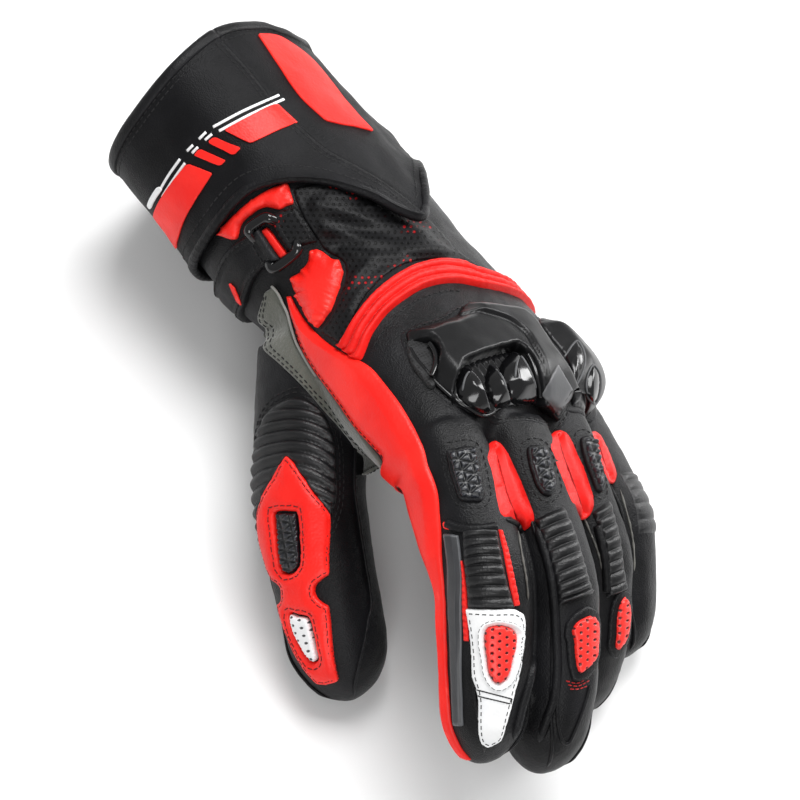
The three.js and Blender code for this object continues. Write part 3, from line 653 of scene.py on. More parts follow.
def limb_spot(name, x, y, lift=1.0):
    """The share and the turn of a limb that show at a pixel."""
    limb = LIMBS[name]
    if (name, lift) not in LIMB_GRIDS:
        share, turn = np.meshgrid(np.linspace(0, 1, 201), np.arange(-180, 180, 1.5), indexing="ij")
        place = limb.point(share, turn, lift)
        normal = np.cross(np.gradient(place, axis=0), np.gradient(place, axis=1))
        middle = (limb.point(share, 0 * turn) + limb.point(share, 0 * turn + 180)) / 2
        normal *= np.sign((normal * (place - middle)).sum(-1))[..., None]
        away = ((EYE - place) * normal).sum(-1) < 0
        LIMB_GRIDS[name, lift] = share, turn, seen_at(place), away
    share, turn, shown, away = LIMB_GRIDS[name, lift]
    gap = ((shown - (x, y)) ** 2).sum(-1) + np.where(away, 1e6, 0)
    i, j = np.unravel_index(np.argmin(gap), gap.shape)
    i, j = min(i, share.shape[0] - 2), min(j, share.shape[1] - 2)
    slope = np.stack([shown[i + 1, j] - shown[i, j], shown[i, j + 1] - shown[i, j]], 1)
    step = np.linalg.lstsq(slope, np.array([x, y]) - shown[i, j], rcond=0.05)[0]
    step = np.clip(step, -1, 1)
    return share[i, j] + step[0] / 200, turn[i, j] + step[1] * 1.5


def spot_on(name, spots, lift=1.0):
    """Flat millimetres on a limb, from pixels (x, y) or ("t", share, turn)."""
    limb = LIMBS[name]
    out = []
    for s in spots:
        share, turn = (s[1], s[2]) if s[0] == "t" else limb_spot(name, s[0], s[1], lift)
        corner = s[3:] if s[0] == "t" else s[2:]
        out.append((share * limb.length, math.radians(turn) * limb.width / 2, *corner))
    return out


def drawn(spots, step, closed=True):
    """A smooth line through spots, with points a step apart. A spot with a third value is a corner."""
    p = np.array([s[:2] for s in spots], float)
    corner = [len(s) > 2 for s in spots]
    n = len(p)
    runs, line = [], []
    for i in range(n if closed else n - 1):
        a, b = p[i], p[(i + 1) % n]
        before, after = p[i - 1], p[(i + 2) % n]
        if not closed and i == 0:
            before = a
        if not closed and i == n - 2:
            after = b
        long = np.linalg.norm(b - a) + 1e-9
        start = b - a if corner[i] else (b - before) * long / (long + np.linalg.norm(a - before))
        end = b - a if corner[(i + 1) % n] else (after - a) * long / (long + np.linalg.norm(after - b))
        t = np.linspace(0, 1, max(int(long / step * 4), 6), endpoint=False)[:, None]
        if corner[i] and line:
            runs.append(np.concatenate(line + [a[None]]))
            line = []
        line.append(
            (2 * t**3 - 3 * t**2 + 1) * a + (t**3 - 2 * t**2 + t) * start
            + (3 * t**2 - 2 * t**3) * b + (t**3 - t**2) * end
        )
    runs.append(np.concatenate(line + [p[:1] if closed else p[-1:]]))
    made = []
    for run in runs:
        gone = np.concatenate([[0], np.cumsum(np.linalg.norm(np.diff(run, axis=0), axis=1))])
        at = np.linspace(0, gone[-1], max(int(round(gone[-1] / step)), 1) + 1)
        made.append(np.stack([np.interp(at, gone, run[:, k]) for k in range(2)], 1)[:-1])
    return np.concatenate(made if closed else made + [p[-1:]])


def to_edge(points, loops):
    """Distance from points to closed lines."""
    best = np.full(len(points), 1e9)
    for loop in loops:
        a, b = loop, np.roll(loop, -1, 0)
        ab = b - a
        for k in range(0, len(points), 4000):
            p = points[k : k + 4000, None]
            t = np.clip(((p - a) * ab).sum(-1) / ((ab * ab).sum(-1) + 1e-12), 0, 1)
            gap = np.linalg.norm(p - (a + t[..., None] * ab), axis=-1).min(1)
            best[k : k + 4000] = np.minimum(best[k : k + 4000], gap)
    return best


def within(points, loop):
    a, b = loop, np.roll(loop, -1, 0)
    x, y = points[:, 0:1], points[:, 1:2]
    cross = (a[:, 1] > y) != (b[:, 1] > y)
    rise = np.where(np.abs(b[:, 1] - a[:, 1]) < 1e-12, 1e-12, b[:, 1] - a[:, 1])
    return (cross & (x < (b[:, 0] - a[:, 0]) * (y - a[:, 1]) / rise + a[:, 0])).sum(1) % 2 == 1


def inset(loop, gap):
    """A closed line moved inwards."""
    ahead = np.roll(loop, -1, 0) - np.roll(loop, 1, 0)
    side = np.stack([-ahead[:, 1], ahead[:, 0]], 1)
    side /= np.linalg.norm(side, axis=1, keepdims=True) + 1e-9
    area = (loop[:, 0] * np.roll(loop[:, 1], -1) - loop[:, 1] * np.roll(loop[:, 0], -1)).sum()
    moved = loop + side * (gap if area > 0 else -gap)
    return moved[to_edge(moved, [loop]) > abs(gap) * 0.94]


def softened(values, pairs, rounds, pinned=None):
    """Values at points, evened out along the edges between them."""
    values = values.copy()
    i = np.concatenate([pairs[:, 0], pairs[:, 1]])
    j = np.concatenate([pairs[:, 1], pairs[:, 0]])
    count = np.bincount(i, minlength=len(values)).astype(float)
    count[count == 0] = 1
    for _ in range(rounds):
        total = np.stack([np.bincount(i, values[j, k], len(values)) for k in range(values.shape[1])], 1)
        fresh = values * 0.4 + 0.6 * total / count[:, None]
        values = fresh if pinned is None else np.where(pinned[:, None], values, fresh)
    return values


class Cut:
    """A piece cut to an outline and sewn onto a skin: what it is made of, and where it lies."""

    def __init__(self, thing, skin, land, loop, unit):
        self.thing, self.skin, self.land, self.loop, self.unit = thing, skin, land, loop, unit

    def on_top(self, spots, lift=0.0):
        return self.land(self.skin, spots, lift)


def closed_sheet(base, out, rise, under, tris, rim):
    """Points and faces of a sheet with a raised top, a foot and a wall round it."""
    n = len(base)
    top = base + out * rise[:, None]
    corner = top[tris]
    facing = (np.cross(corner[:, 1] - corner[:, 0], corner[:, 2] - corner[:, 0]) * out[tris[:, 0]]).sum()
    if facing < 0:
        tris, rim = tris[:, ::-1], rim[:, ::-1]
    points = np.concatenate([top, base - out * under])
    walls = np.stack([rim[:, 1], rim[:, 0], rim[:, 0] + n, rim[:, 1] + n], 1)
    return points, [tuple(t) for t in tris] + [tuple(t) for t in tris[:, ::-1] + n] + [tuple(w) for w in walls]


def cut_piece(name, outline, finish, slot, *, skin=None, land=by_sight, thick=1.2, soft=1.2,
              holes=(), step=0.7, relief=None, under=FOOT, even=6, stands_for=(), film=False, edge=0.0):
    """A sewn-on piece. soft is how far from its edge it reaches its thickness, in millimetres."""
    skin = skin or hand_skin
    unit = PIXEL if land is by_sight else 1.0  # millimetres in a step of the outline
    loop = drawn(outline, step / unit * 0.8)
    loops = [loop] + [drawn(h, step / unit * 0.8) for h in holes]
    points = [np.concatenate(loops)]
    edges, base_index = [], 0
    for line in loops:
        k = np.arange(len(line))
        edges += [(int(a) + base_index, int(b) + base_index) for a, b in zip(k, np.roll(k, -1))]
        base_index += len(line)
    for share in (0.1, 0.28, 0.55, 0.85):
        for i, line in enumerate(loops):
            points.append(inset(line, (share * soft if i == 0 else -share * soft) / unit))
    low, high = loop.min(0), loop.max(0)
    pitch = step / unit
    xs, ys = np.arange(low[0], high[0], pitch), np.arange(low[1], high[1], pitch * LATTICE_ROW)
    lattice = np.stack(np.meshgrid(xs, ys), -1)
    lattice[1::2, :, 0] += pitch / 2
    lattice = lattice.reshape(-1, 2)
    points.append(lattice[to_edge(lattice, loops) > (soft + step * 0.35) / unit])
    inner = np.concatenate(points[1:])
    keep = within(inner, loop) & (to_edge(inner, loops) > 0.05 / unit)
    for line in loops[1:]:
        keep &= ~within(inner, line)
    inner = inner[keep]
    cells = np.round(inner / (pitch * 0.3)).astype(int)
    inner = inner[np.unique(cells, axis=0, return_index=True)[1]]
    flat = np.concatenate([points[0], inner])
    made = delaunay_2d_cdt([Vector(p) for p in flat], edges, [], 0, 1e-5)
    flat = np.array([tuple(v) for v in made[0]])
    tris = np.array([f for f in made[2] if len(f) == 3])
    centre = flat[tris].mean(1)
    good = within(centre, loop)
    for line in loops[1:]:
        good &= ~within(centre, line)
    tris = tris[good]
    used, tris = np.unique(tris, return_inverse=True)
    flat, tris = flat[used], tris.reshape(-1, 3)
    sides = np.sort(np.concatenate([tris[:, [0, 1]], tris[:, [1, 2]], tris[:, [2, 0]]]), 1)
    way = np.concatenate([tris[:, [0, 1]], tris[:, [1, 2]], tris[:, [2, 0]]])
    pairs, first, count = np.unique(sides, axis=0, return_index=True, return_counts=True)
    rim = way[first[count == 1]]
    away = to_edge(flat, loops) * unit
    rise = edge + (thick - edge) * np.sqrt(1 - (1 - np.clip(away / soft, 0, 1)) ** 2)
    if relief:
        rise = rise + relief(flat[:, 0], flat[:, 1], away)
    base, out = land(skin, flat, rise)
    pinned = np.zeros(len(flat), bool)
    pinned[rim.ravel()] = True
    if film:
        base = np.where(pinned[:, None], softened(base, rim, 24), base)
    base = softened(base, pairs, 220 if film else even, pinned if film else None)
    if film:
        corner = base[tris]
        face = np.cross(corner[:, 1] - corner[:, 0], corner[:, 2] - corner[:, 0])
        face *= np.sign((face * (EYE - corner[:, 0])).sum(-1))[:, None]
        out = np.stack([np.bincount(tris.ravel(), np.repeat(face[:, k], 3), len(flat)) for k in range(3)], 1)
    out = softened(out, pairs, max(even, 4))
    out /= np.linalg.norm(out, axis=1, keepdims=True) + 1e-9
    verts, faces = closed_sheet(base, out, rise, under, tris, rim)
    flats = np.concatenate([flat * unit, away[:, None]], 1)
    thing = mesh_piece(name, verts, faces, finish, slot, stands_for, np.concatenate([flats, flats]))
    top = BVHTree.FromPolygons(verts[: len(flat)].tolist(), [tuple(int(i) for i in t) for t in tris])
    return Cut(thing, top, land, loop, unit)


def band_piece(name, seeds, finish, slot, *, thick, soft, relief=None, even=3, stands_for=()):
    """A strip over the hand from a grid of places near it, [along, across]. relief(v, w, away)."""
    m, n = seeds.shape[:2]
    base, out = on_skin(hand_skin, seeds.reshape(-1, 3))
    grid = np.arange(m * n).reshape(m, n)
    pairs = np.concatenate([np.stack([grid[:-1].ravel(), grid[1:].ravel()], 1),
                            np.stack([grid[:, :-1].ravel(), grid[:, 1:].ravel()], 1)])
    base, out = softened(base, pairs, even), softened(out, pairs, even + 3)
    out /= np.linalg.norm(out, axis=1, keepdims=True) + 1e-9
    b = base.reshape(m, n, 3)
    across = np.concatenate([np.zeros((m, 1)), np.cumsum(np.linalg.norm(np.diff(b, axis=1), axis=2), 1)], 1)
    along = np.concatenate([np.zeros((1, n)), np.cumsum(np.linalg.norm(np.diff(b, axis=0), axis=2), 0)], 0)
    away = np.minimum(np.minimum(across, across[:, -1:] - across), np.minimum(along, along[-1:] - along))
    v = np.broadcast_to(np.linspace(0, 1, m)[:, None], (m, n))
    w = np.broadcast_to(np.linspace(0, 1, n)[None], (m, n))
    rise = thick * np.sqrt(1 - (1 - np.clip(away / soft, 0, 1)) ** 2)
    if relief:
        rise = rise + relief(v, w, away)
    a, c = grid[:-1, :-1].ravel(), grid[1:, 1:].ravel()
    tris = np.concatenate([np.stack([a, grid[:-1, 1:].ravel(), c], 1), np.stack([a, c, grid[1:, :-1].ravel()], 1)])
    rim = [*zip(grid[0, :-1], grid[0, 1:]), *zip(grid[:-1, -1], grid[1:, -1]),
           *zip(grid[-1, :0:-1], grid[-1, -2::-1]), *zip(grid[:0:-1, 0], grid[-2::-1, 0])]
    verts, faces = closed_sheet(base, out, rise.ravel(), FOOT, tris, np.array(rim))
    flats = np.stack([along, across, away], -1).reshape(-1, 3)
    thing = mesh_piece(name, verts, faces, finish, slot, stands_for, np.concatenate([flats, flats]))
    top = BVHTree.FromPolygons(verts[: m * n].tolist(), [tuple(int(i) for i in t) for t in tris])
    made = Cut(thing, top, None, None, 1.0)
    made.grid = verts[: m * n].reshape(m, n, 3)
    made.out = out.reshape(m, n, 3)
    return made


def place_of(spot):
    """The place of a pixel (x, y), or of (limb, share, turn)."""
    if isinstance(spot[0], str):
        return LIMBS[spot[0]].point(spot[1], spot[2], 0.8)
    return by_sight(hand_skin, [spot])[0][0]


def through(knots, count):
    """An even, smooth line through places."""
    knots = np.array(knots)
    gone = np.concatenate([[0], np.cumsum(np.linalg.norm(np.diff(knots, axis=0), axis=1) + 1e-6)])
    fine = np.linspace(0, gone[-1], count * 6)
    line = np.stack([curve(gone, knots[:, k])(fine) for k in range(3)], 1)
    gone = np.concatenate([[0], np.cumsum(np.linalg.norm(np.diff(line, axis=0), axis=1))])
    at = np.linspace(0, gone[-1], count)
    return np.stack([np.interp(at, gone, line[:, k]) for k in range(3)], 1)


def pair_grid(left, right, m, n):
    """Places between two drawn edges, each a list of spots."""
    a, b = (through([place_of(s) for s in side], m) for side in (left, right))
    w = np.linspace(0, 1, n)[None, :, None]
    return a[:, None] * (1 - w) + b[:, None] * w


THREADS = {}


def sew(path, ups, thread="black", pitch=2.6, long=1.7, thick=0.27, closed=False):
    """Stitches along a line on a surface; ups are the ways out of it."""
    path, ups = np.asarray(path), np.asarray(ups)
    if closed:
        path, ups = np.concatenate([path, path[:1]]), np.concatenate([ups, ups[:1]])
    gone = np.concatenate([[0], np.cumsum(np.linalg.norm(np.diff(path, axis=0), axis=1))])
    for start in np.arange(0, gone[-1] - long, pitch):
        t = np.array([0, 0.14, 0.5, 0.86, 1]) * long + start
        at = np.stack([np.interp(t, gone, path[:, k]) for k in range(3)], 1)
        up = np.stack([np.interp(t, gone, ups[:, k]) for k in range(3)], 1)
        at = at + up * (np.array([-0.5, 0.25, 0.6, 0.25, -0.5]) * thick)[:, None]
        THREADS.setdefault(thread, []).append(rod(at, np.array([0.55, 0.95, 1, 0.95, 0.55]) * thick, 6, ups=up))


def sew_inset(cut, gap, thread="black", **how):
    """Stitches all round a cut piece, gap millimetres inside its edge."""
    line = inset(cut.loop, gap / cut.unit)
    at, up = cut.on_top(line)
    sew(at, up, thread, closed=True, **how)


def evened(line, rounds, closed=False):
    """A line in space, evened out along itself."""
    k = np.arange(len(line))
    pairs = np.stack([k, np.roll(k, -1)], 1)
    return softened(line, pairs if closed else pairs[:-1], rounds)


def thinned(count, steps, least):
    """1 along a line of count points, less over the steps at both its ends."""
    k = np.arange(count)
    return ease(np.minimum(k, k[::-1]) / steps + least)


perforated = leather("perforated_leather", (0.010, 0.010, 0.011), (0.02, 0.02, 0.022), 0.5, Specular_IOR_Level=0.15)
HOLE_PITCH = 2.2  # millimetres
u, v, _ = perforated.parts(perforated.flat())
row = perforated.node("ShaderNodeMath", {"operation": "FLOOR"}, {0: v / (HOLE_PITCH * LATTICE_ROW)})
odd = perforated.node("ShaderNodeMath", {"operation": "MODULO"}, {0: row + 1000.0, 1: 2.0})
shifted = u / HOLE_PITCH + odd * 0.5
fx = perforated.node("ShaderNodeMath", {"operation": "FRACT"}, {0: shifted + 100.0}) - 0.5
fy = perforated.node("ShaderNodeMath", {"operation": "FRACT"}, {0: v / (HOLE_PITCH * LATTICE_ROW) + 100.0}) - 0.5
hole = 1 - ((fx * fx + fy * fy * 0.75) ** 0.5).above(0.19, 0.26)
show = perforated.noise(60.0, 2.0).above(0.6, 0.64)
dark = perforated.mix(show, (0.001, 0.001, 0.001), (0.30, 0.004, 0.006))
tone = perforated.noise(60.0, 3.0)
perforated.put(Base_Color=perforated.mix(hole, perforated.mix(tone, (0.004, 0.004, 0.0045), (0.009, 0.009, 0.010)),
                                         dark))
perforated.bump(perforated.cells(1150.0) * 0.10 + tone * 0.2 - hole * 0.8, 0.0006)
WRIST = [(292, 188, 1), (330, 182), (360, 190), (400, 205), (430, 220), (455, 246), (482, 269), (462, 262),
         (430, 259), (400, 266), (370, 290), (352, 320), (341, 345, 1), (318, 332, 1), (330, 315), (338, 298),
         (345, 280), (344, 262), (325, 250), (318, 240), (306, 222), (297, 204, 1)]
FOLDS = [([(326, 228), (360, 238), (400, 246), (440, 256)], 2.4, 2.1),
         ([(318, 205), (350, 214), (385, 226), (420, 238), (452, 252)], 2.6, 2.0),
         ([(345, 252), (370, 255), (400, 256)], 1.9, 1.5), ([(345, 290), (356, 275), (372, 262)], 2.0, 1.3),
         ([(372, 207), (400, 219), (425, 233)], 1.6, 1.2), ([(350, 310), (362, 292), (382, 274)], 1.6, 1.0),
         ([(330, 196), (352, 199), (375, 205)], 1.6, 0.9)]
fold_lines = [(drawn(spots, 3.0, False), wide, high) for spots, wide, high in FOLDS]


def rumpled(x, y, away):
    p = np.stack([x, y], 1)
    out = 0.3 * np.sin(x / 9 + y / 23)
    for line, wide, high in fold_lines:
        gap = np.linalg.norm(p[:, None] - line[None], axis=-1).min(1) * PIXEL
        out = out + high * np.exp(-((gap / wide) ** 2))
    return out * ease(away / 4)


cut_piece("perforated_wrist", WRIST, perforated, "black_leather", thick=0.9, soft=0.8, step=1.0, relief=rumpled)

# The red stripes of the cuff: thin coated leather let into the back of the cuff, with white
# piping lines beside it. Plain blocks and bars only; a row of stitches runs round the wedge
# and the block on the side.
red_leather = leather("red_leather", (0.80, 0.010, 0.006), (0.90, 0.018, 0.011), 0.42, 1100.0, 0.00007, 0.00016,
                      Specular_IOR_Level=0.32)
# A darker, less glossy copy of the same red leather for the rib band, the webs and the index lining. Its darker
# colour is painted shade that offsets the stronger light these parts catch.
red_shaded_copy = leather("red_leather_shaded_copy", (0.58, 0.006, 0.004), (0.68, 0.010, 0.007), 0.46, 1100.0, 0.00006, 0.00012,
                   Specular_IOR_Level=0.2)
white_leather = leather("white_leather", (0.74, 0.75, 0.76), (0.82, 0.82, 0.82), 0.45, 900.0, 0.00006, 0.0002)
STRIPES = {
    "cuff_red_block": [(224, 131, 1), (273, 106, 1), (297, 124, 1), (251, 145, 1)],
    "cuff_red_bar": [(208, 142, 1), (215, 136, 1), (242, 149, 1), (235, 156, 1)],
    "cuff_red_end": [(194, 155, 1), (200, 148, 1), (227, 160, 1), (221, 166, 1)],
    "cuff_red_side": [(187, 163, 1), (213, 173, 1), ("t", 0.58, 100), ("t", 0.56, 118), ("t", 0.55, 134, 1),
                      ("t", 0.69, 130, 1), ("t", 0.695, 108)],
    "cuff_red_wedge": [(258, 33, 1), (284, 37), (316, 63), (350, 104), (374, 132, 1), (326, 120, 1), (300, 96),
                       (277, 62)],
}
on_cuff = round_limb("cuff")
for name, spots in STRIPES.items():
    stripe = cut_piece(name, spot_on("cuff", spots, 3.0), red_leather, "red_leather", skin=cuff_skin, land=on_cuff, 
                       thick=0.55, soft=0.3, step=0.5)
    if name in ("cuff_red_wedge", "cuff_red_side"):
        sew_inset(stripe, 1.5, "dark_red")
LINES = [[(213, 127), (243, 111), (279, 95)], [(219, 131), (249, 115), (284, 99)],
         [(199, 139), (206, 132)], [(205, 140), (212, 134)], [(187, 151), (193, 145)], [(192, 153), (198, 147)],
         [(180, 159), (168, 176), (158, 193)], [(185, 163), (173, 180), (162, 197)]]
strands = []
for spots in LINES:
    line = drawn(spots, 2.0, False)
    at, up = by_sight(cuff_skin, line)
    strands.append(rod(at + up * 0.1, 0.6, 6, ups=up, squash=0.55))
mesh_piece("cuff_white_lines", *joined(strands), white_leather, "white_leather")
cut_piece("cuff_white_block", spot_on("cuff", [("t", 0.732, 103, 1), ("t", 0.708, 102, 1), ("t", 0.708, 126, 1),
                                               ("t", 0.732, 126, 1)]),
          white_leather, "white_leather", skin=cuff_skin, land=on_cuff, thick=0.6, soft=0.4, step=0.8)
for gap in (1.6, 3.4):
    line = CUFF_SEAM(np.linspace(0.06, 1.0, 260)) + gap / CUFF_ROUND * RADIAN
    share = np.linspace(0.06, 0.97, 260)
    at, up = on_skin(cuff_skin, cuff_point(line, share, 3.0 + 0 * share))
    sew(at, up)
for gap in (3.4, 5.0):
    at, up = on_skin(cuff_skin, cuff_loop(AROUND, CUFF_RIM(AROUND) - gap / CUFF_LENGTH, 2.0))
    sew(at, up, closed=True)
at, up = on_skin(cuff_skin, cuff_loop(AROUND, CUFF_EDGE(AROUND) + 6.0 / CUFF_LENGTH, 2.2))
sew(at, up, closed=True)

# The red pad under the cuff's edge and the gathered red pad on the wrist: coated leather over
# soft foam, drawn in along their seams.
TAB = [(214, 236, 1), (220, 226), (232, 213), (250, 198), (268, 187), (284, 181), (290, 182, 1), (296, 204, 1),
       (288, 207), (280, 211), (265, 209), (252, 216), (242, 226), (238, 240), (230, 242)]
tab = cut_piece("red_wrist_tab", TAB, red_leather, "red_leather", thick=2.2, soft=4.5, step=0.8,
                stands_for=["red_wrist_tab"],
                relief=lambda x, y, d: 0.45 * np.sin((x + 0.6 * y) / 3.1) * ease((x - 262) / 20) * ease(d / 2))


def gathers(x, y, away):
    a = np.arctan2(y - 290, x - 317)
    return 0.3 * np.sin(a * 26 + np.sin(a * 5) * 2) * np.exp(-((away - 2.0) / 1.6) ** 2)


PAD = [(288, 278), (297, 270), (305, 260), (308, 250), (315, 247), (322, 248), (332, 254), (341, 259), (345, 270),
       (342, 284), (338, 296), (332, 310), (325, 320), (317, 331, 1), (306, 323), (297, 309), (291, 295)]
pad = cut_piece("red_wrist_pad", PAD, red_leather, "red_leather", thick=3.0, soft=6.5, step=0.7, relief=gathers,
                stands_for=["red_wrist_patch"])

# The wrist strap: a doubled strap of black leather with stitched edges. A moulded loop on the
# thumb's side holds it to a short anchor strap, and it closes under the wrist.
gloss_plastic = Finish("gloss_plastic", (0.004, 0.004, 0.0045), 0.12)
smear = gloss_plastic.noise(120.0, 4.0)
gloss_plastic.put(Roughness=smear * 0.14 + 0.06, Base_Color=gloss_plastic.mix(
    gloss_plastic.worn().above(0.52, 0.6), (0.004, 0.004, 0.0045), (0.03, 0.03, 0.033)))
gloss_plastic.bump(gloss_plastic.noise(35.0, 2.0), 0.00025)


def rows_between(under, over, m, n):
    """Places between matching rows of two edges."""
    a, b = (np.array([place_of(s) for s in side]) for side in (under, over))
    gone = np.concatenate([[0], np.cumsum(np.linalg.norm(np.diff((a + b) / 2, axis=0), axis=1))])
    at = np.linspace(0, gone[-1], m)
    a, b = (np.stack([curve(gone, e[:, k])(at) for k in range(3)], 1) for e in (a, b))
    w = np.linspace(0, 1, n)[None, :, None]
    return a[:, None] * (1 - w) + b[:, None] * w


STRAP_CUFF_SIDE = [(262, 226), (251, 232), (240, 239), (230, 247), (222, 258), ("cuff", 0.375, 118),
                   ("cuff", 0.365, 135), ("cuff", 0.355, 155), ("cuff", 0.34, 180), ("cuff", 0.32, 205),
                   ("cuff", 0.30, 230), ("cuff", 0.28, 255)]
STRAP_HAND_SIDE = [(283, 259), (270, 265), (260, 274), (253, 287), (249, 301), ("cuff", 0.215, 118),
                   ("cuff", 0.21, 135), ("cuff", 0.2, 155), ("cuff", 0.185, 180), ("cuff", 0.165, 205),
                   ("cuff", 0.145, 230), ("cuff", 0.125, 255)]
strap = band_piece("wrist_strap", rows_between(STRAP_CUFF_SIDE, STRAP_HAND_SIDE, 190, 30), black_leather,
                   "black_leather", thick=2.3, soft=1.3, stands_for=["wrist_strap"],
                   relief=lambda v, w, d: 1.3 * np.exp(-((v / 0.03) ** 2)) - 0.35 * np.exp(-(((d - 3.4) / 0.7) ** 2))
                   + 0.12 * np.sin(v * 60 + w * 3))
for w in (4, 25):
    sew(strap.grid[4:-4, w], strap.out[4:-4, w])
sew(strap.grid[9, 4:26], strap.out[9, 4:26])
anchor = cut_piece("strap_anchor", [(267, 215, 1), (281, 210), (296, 205, 1), (308, 223), (320, 242, 1), (304, 247),
                                    (290, 254, 1), (278, 236)], perforated, "black_leather", thick=2.4, soft=1.6,
                   step=0.7,
                   relief=lambda x, y, d: 0.9 * np.exp(-((((x - 278) * 0.85 - (y - 236) * 0.52) / 5) ** 2)))
sew_inset(anchor, 2.0)
LOOP = [(244, 230), (268, 213), (303, 250), (270, 273)]
LOOP_HIGH = 3.6  # over the leather
LOOP_RADIUS = 1.85
place, up = by_sight(hand_skin, LOOP, 4.0)
up = up.mean(0) / np.linalg.norm(up.mean(0))
place = place + up * LOOP_HIGH
knots = []
for k in range(4):
    a, b, c = place[k - 1], place[k], place[(k + 1) % 4]
    # a rounded corner; the two long sides sink towards their middles
    for near, far, sinks, steps in ((a, c, 1 - k % 2, (0.28, 0.14, 0.07)), (c, a, k % 2, (0.07, 0.14, 0.28))):
        for t in steps:
            knots.append(b + (near - b) * t + (far - b) * max(0.0, 0.07 - t * 0.4) - up * sinks * (t - 0.07) * 13)
knots = np.array(knots + knots[:1])
ring = through(knots, 140)[:-1]
mesh_piece("strap_buckle_loop", *rod(ring, LOOP_RADIUS, 12, True, 0.85, np.tile(up, (len(ring), 1))), gloss_plastic,
           "gloss_plastic", ["strap_buckle"])
cut_piece("strap_tab", [(260, 231, 1), (267, 226, 1), (289, 255, 1), (281, 261, 1)], red_leather, "red_leather",
          thick=2.0, soft=0.9, step=0.6, stands_for=["strap_tab"])
cut_piece("strap_end_tag", [(229, 281, 1), (236, 287, 1), (243, 305, 1), (238, 301, 1)], red_leather, "red_leather",
          skin=strap.skin, thick=0.8, soft=0.7, step=0.6)

# The band of three ribs over the wrist end of the hand: red leather folded over cords and
# stitched between them, so that the hand can bend back.
OUTER = [("palm", 0.385, 82), (340, 345), (352, 322), (370, 297), (390, 279), (412, 266), (436, 260), (458, 262),
         ("palm", 0.34, -9), ("palm", 0.365, -20), ("palm", 0.385, -38), ("palm", 0.395, -55), ("palm", 0.4, -72)]
INNER = [("palm", 0.485, 79), (362, 360), (372, 336), (386, 316), (405, 300), (424, 289), (444, 284), (462, 284),
         ("palm", 0.452, -7), ("palm", 0.47, -20), ("palm", 0.485, -38), ("palm", 0.495, -55), ("palm", 0.5, -72)]


def cords(v, w, away):
    ripple = 0.07 * np.sin(v * 150 + 3 * np.sin(v * 31))
    return 1.7 * np.abs(np.sin(math.pi * 3 * w)) ** 0.62 * ease(away / 1.0) + ripple


ribs = band_piece("red_rib_band", pair_grid(OUTER, INNER, 220, 40), red_shaded_copy, "red_leather", thick=0.7, soft=0.8,
                  relief=cords, stands_for=["red_rib_band"])
for w in (13, 26):
    sew(ribs.grid[3:-3, w] - ribs.out[3:-3, w] * 0.05, ribs.out[3:-3, w], "dark_red", thick=0.2)

# The side gusset: one long piece of red coated leather from the wrist down the thumb's side of
# the hand and the index finger, padded, with a strip of grey-green suede sewn under its edge.
GUSSET_UNDER = [(286, 294), (289, 306), (293, 320), (297, 339), (305, 358), (320, 379), (338, 403), (356, 428),
                (372, 446), (384, 461), (393, 482), ("palm", 0.88, 114), ("index", 0.14, 128), ("index", 0.25, 130),
                ("index", 0.4, 130), ("index", 0.55, 128), ("index", 0.72, 121), ("index", 0.86, 114),
                ("index", 0.93, 108), ("index", 0.985, 95)]
GUSSET_OVER = [(289, 293), (297, 308), (309, 325), (330, 344), (352, 356), (372, 366), (387, 383), (401, 401),
               (413, 421), (424, 443), (433, 467), (440, 494), (442, 520), (443, 550), (445, 590), (447, 640),
               (449, 685), (453, 727), (461, 746), (474, 761)]


def pillow(v, w, away):
    return 1.5 * ease(away / 6) - 0.4 * np.exp(-((w - 0.12) / 0.035) ** 2)


gusset = band_piece("red_side_gusset", rows_between(GUSSET_UNDER, GUSSET_OVER, 260, 34), red_leather, "red_leather",
                    thick=1.2, soft=1.4, relief=pillow, even=12, stands_for=["red_side_gusset"])
sew(gusset.grid[3:-20, 4], gusset.out[3:-20, 4], "black")
suede = Finish("grey_green_suede", (0.075, 0.078, 0.062), 0.95, Sheen_Weight=0.4)
nap = suede.noise(700.0, 3.0)
suede.put(Base_Color=suede.mix(suede.noise(90.0, 4.0) * 0.6 + nap * 0.4, (0.045, 0.048, 0.038), (0.13, 0.132, 0.11)))
suede.bump(nap + suede.noise(2200.0, 1.0) * 0.5, 0.00035)
SUEDE_UNDER = [(266, 290), (261, 305), (259, 322), (260, 338), (263, 350), (277, 363), (294, 379), (312, 398),
               (330, 419), (346, 438), (358, 452), (372, 462), (386, 476), ("palm", 0.8, 122)]
SUEDE_OVER = [(274, 285), (281, 294), (287, 307), (292, 320), (296, 338), (303, 351), (316, 370), (332, 392),
              (349, 416), (363, 434), (374, 448), (382, 458), (389, 470), ("palm", 0.86, 114)]
strip = band_piece("suede_strip", rows_between(SUEDE_UNDER, SUEDE_OVER, 150, 20), suede, "olive_suede", thick=0.9,
                   soft=0.7, even=6, stands_for=["grey_suede_strip"])
for w in (3, 6):
    sew(strip.grid[3:-3, w], strip.out[3:-3, w], "black", thick=0.22)
edge_line = drawn([(271, 283), (279, 291), (285, 303), (291, 315), (294, 328), (298, 343), (307, 358), (321, 378)],
                  2.0, False)
at, up = by_sight(hand_skin, edge_line)
pale_piping = Finish("pale_piping", (0.22, 0.225, 0.21), 0.8)
pale_piping.bump(pale_piping.noise(1500.0, 2.0), 0.0001)
mesh_piece("suede_piping", *rod(evened(at + up * 1.3, 6), 0.5, 6, ups=up), pale_piping, "olive_suede")

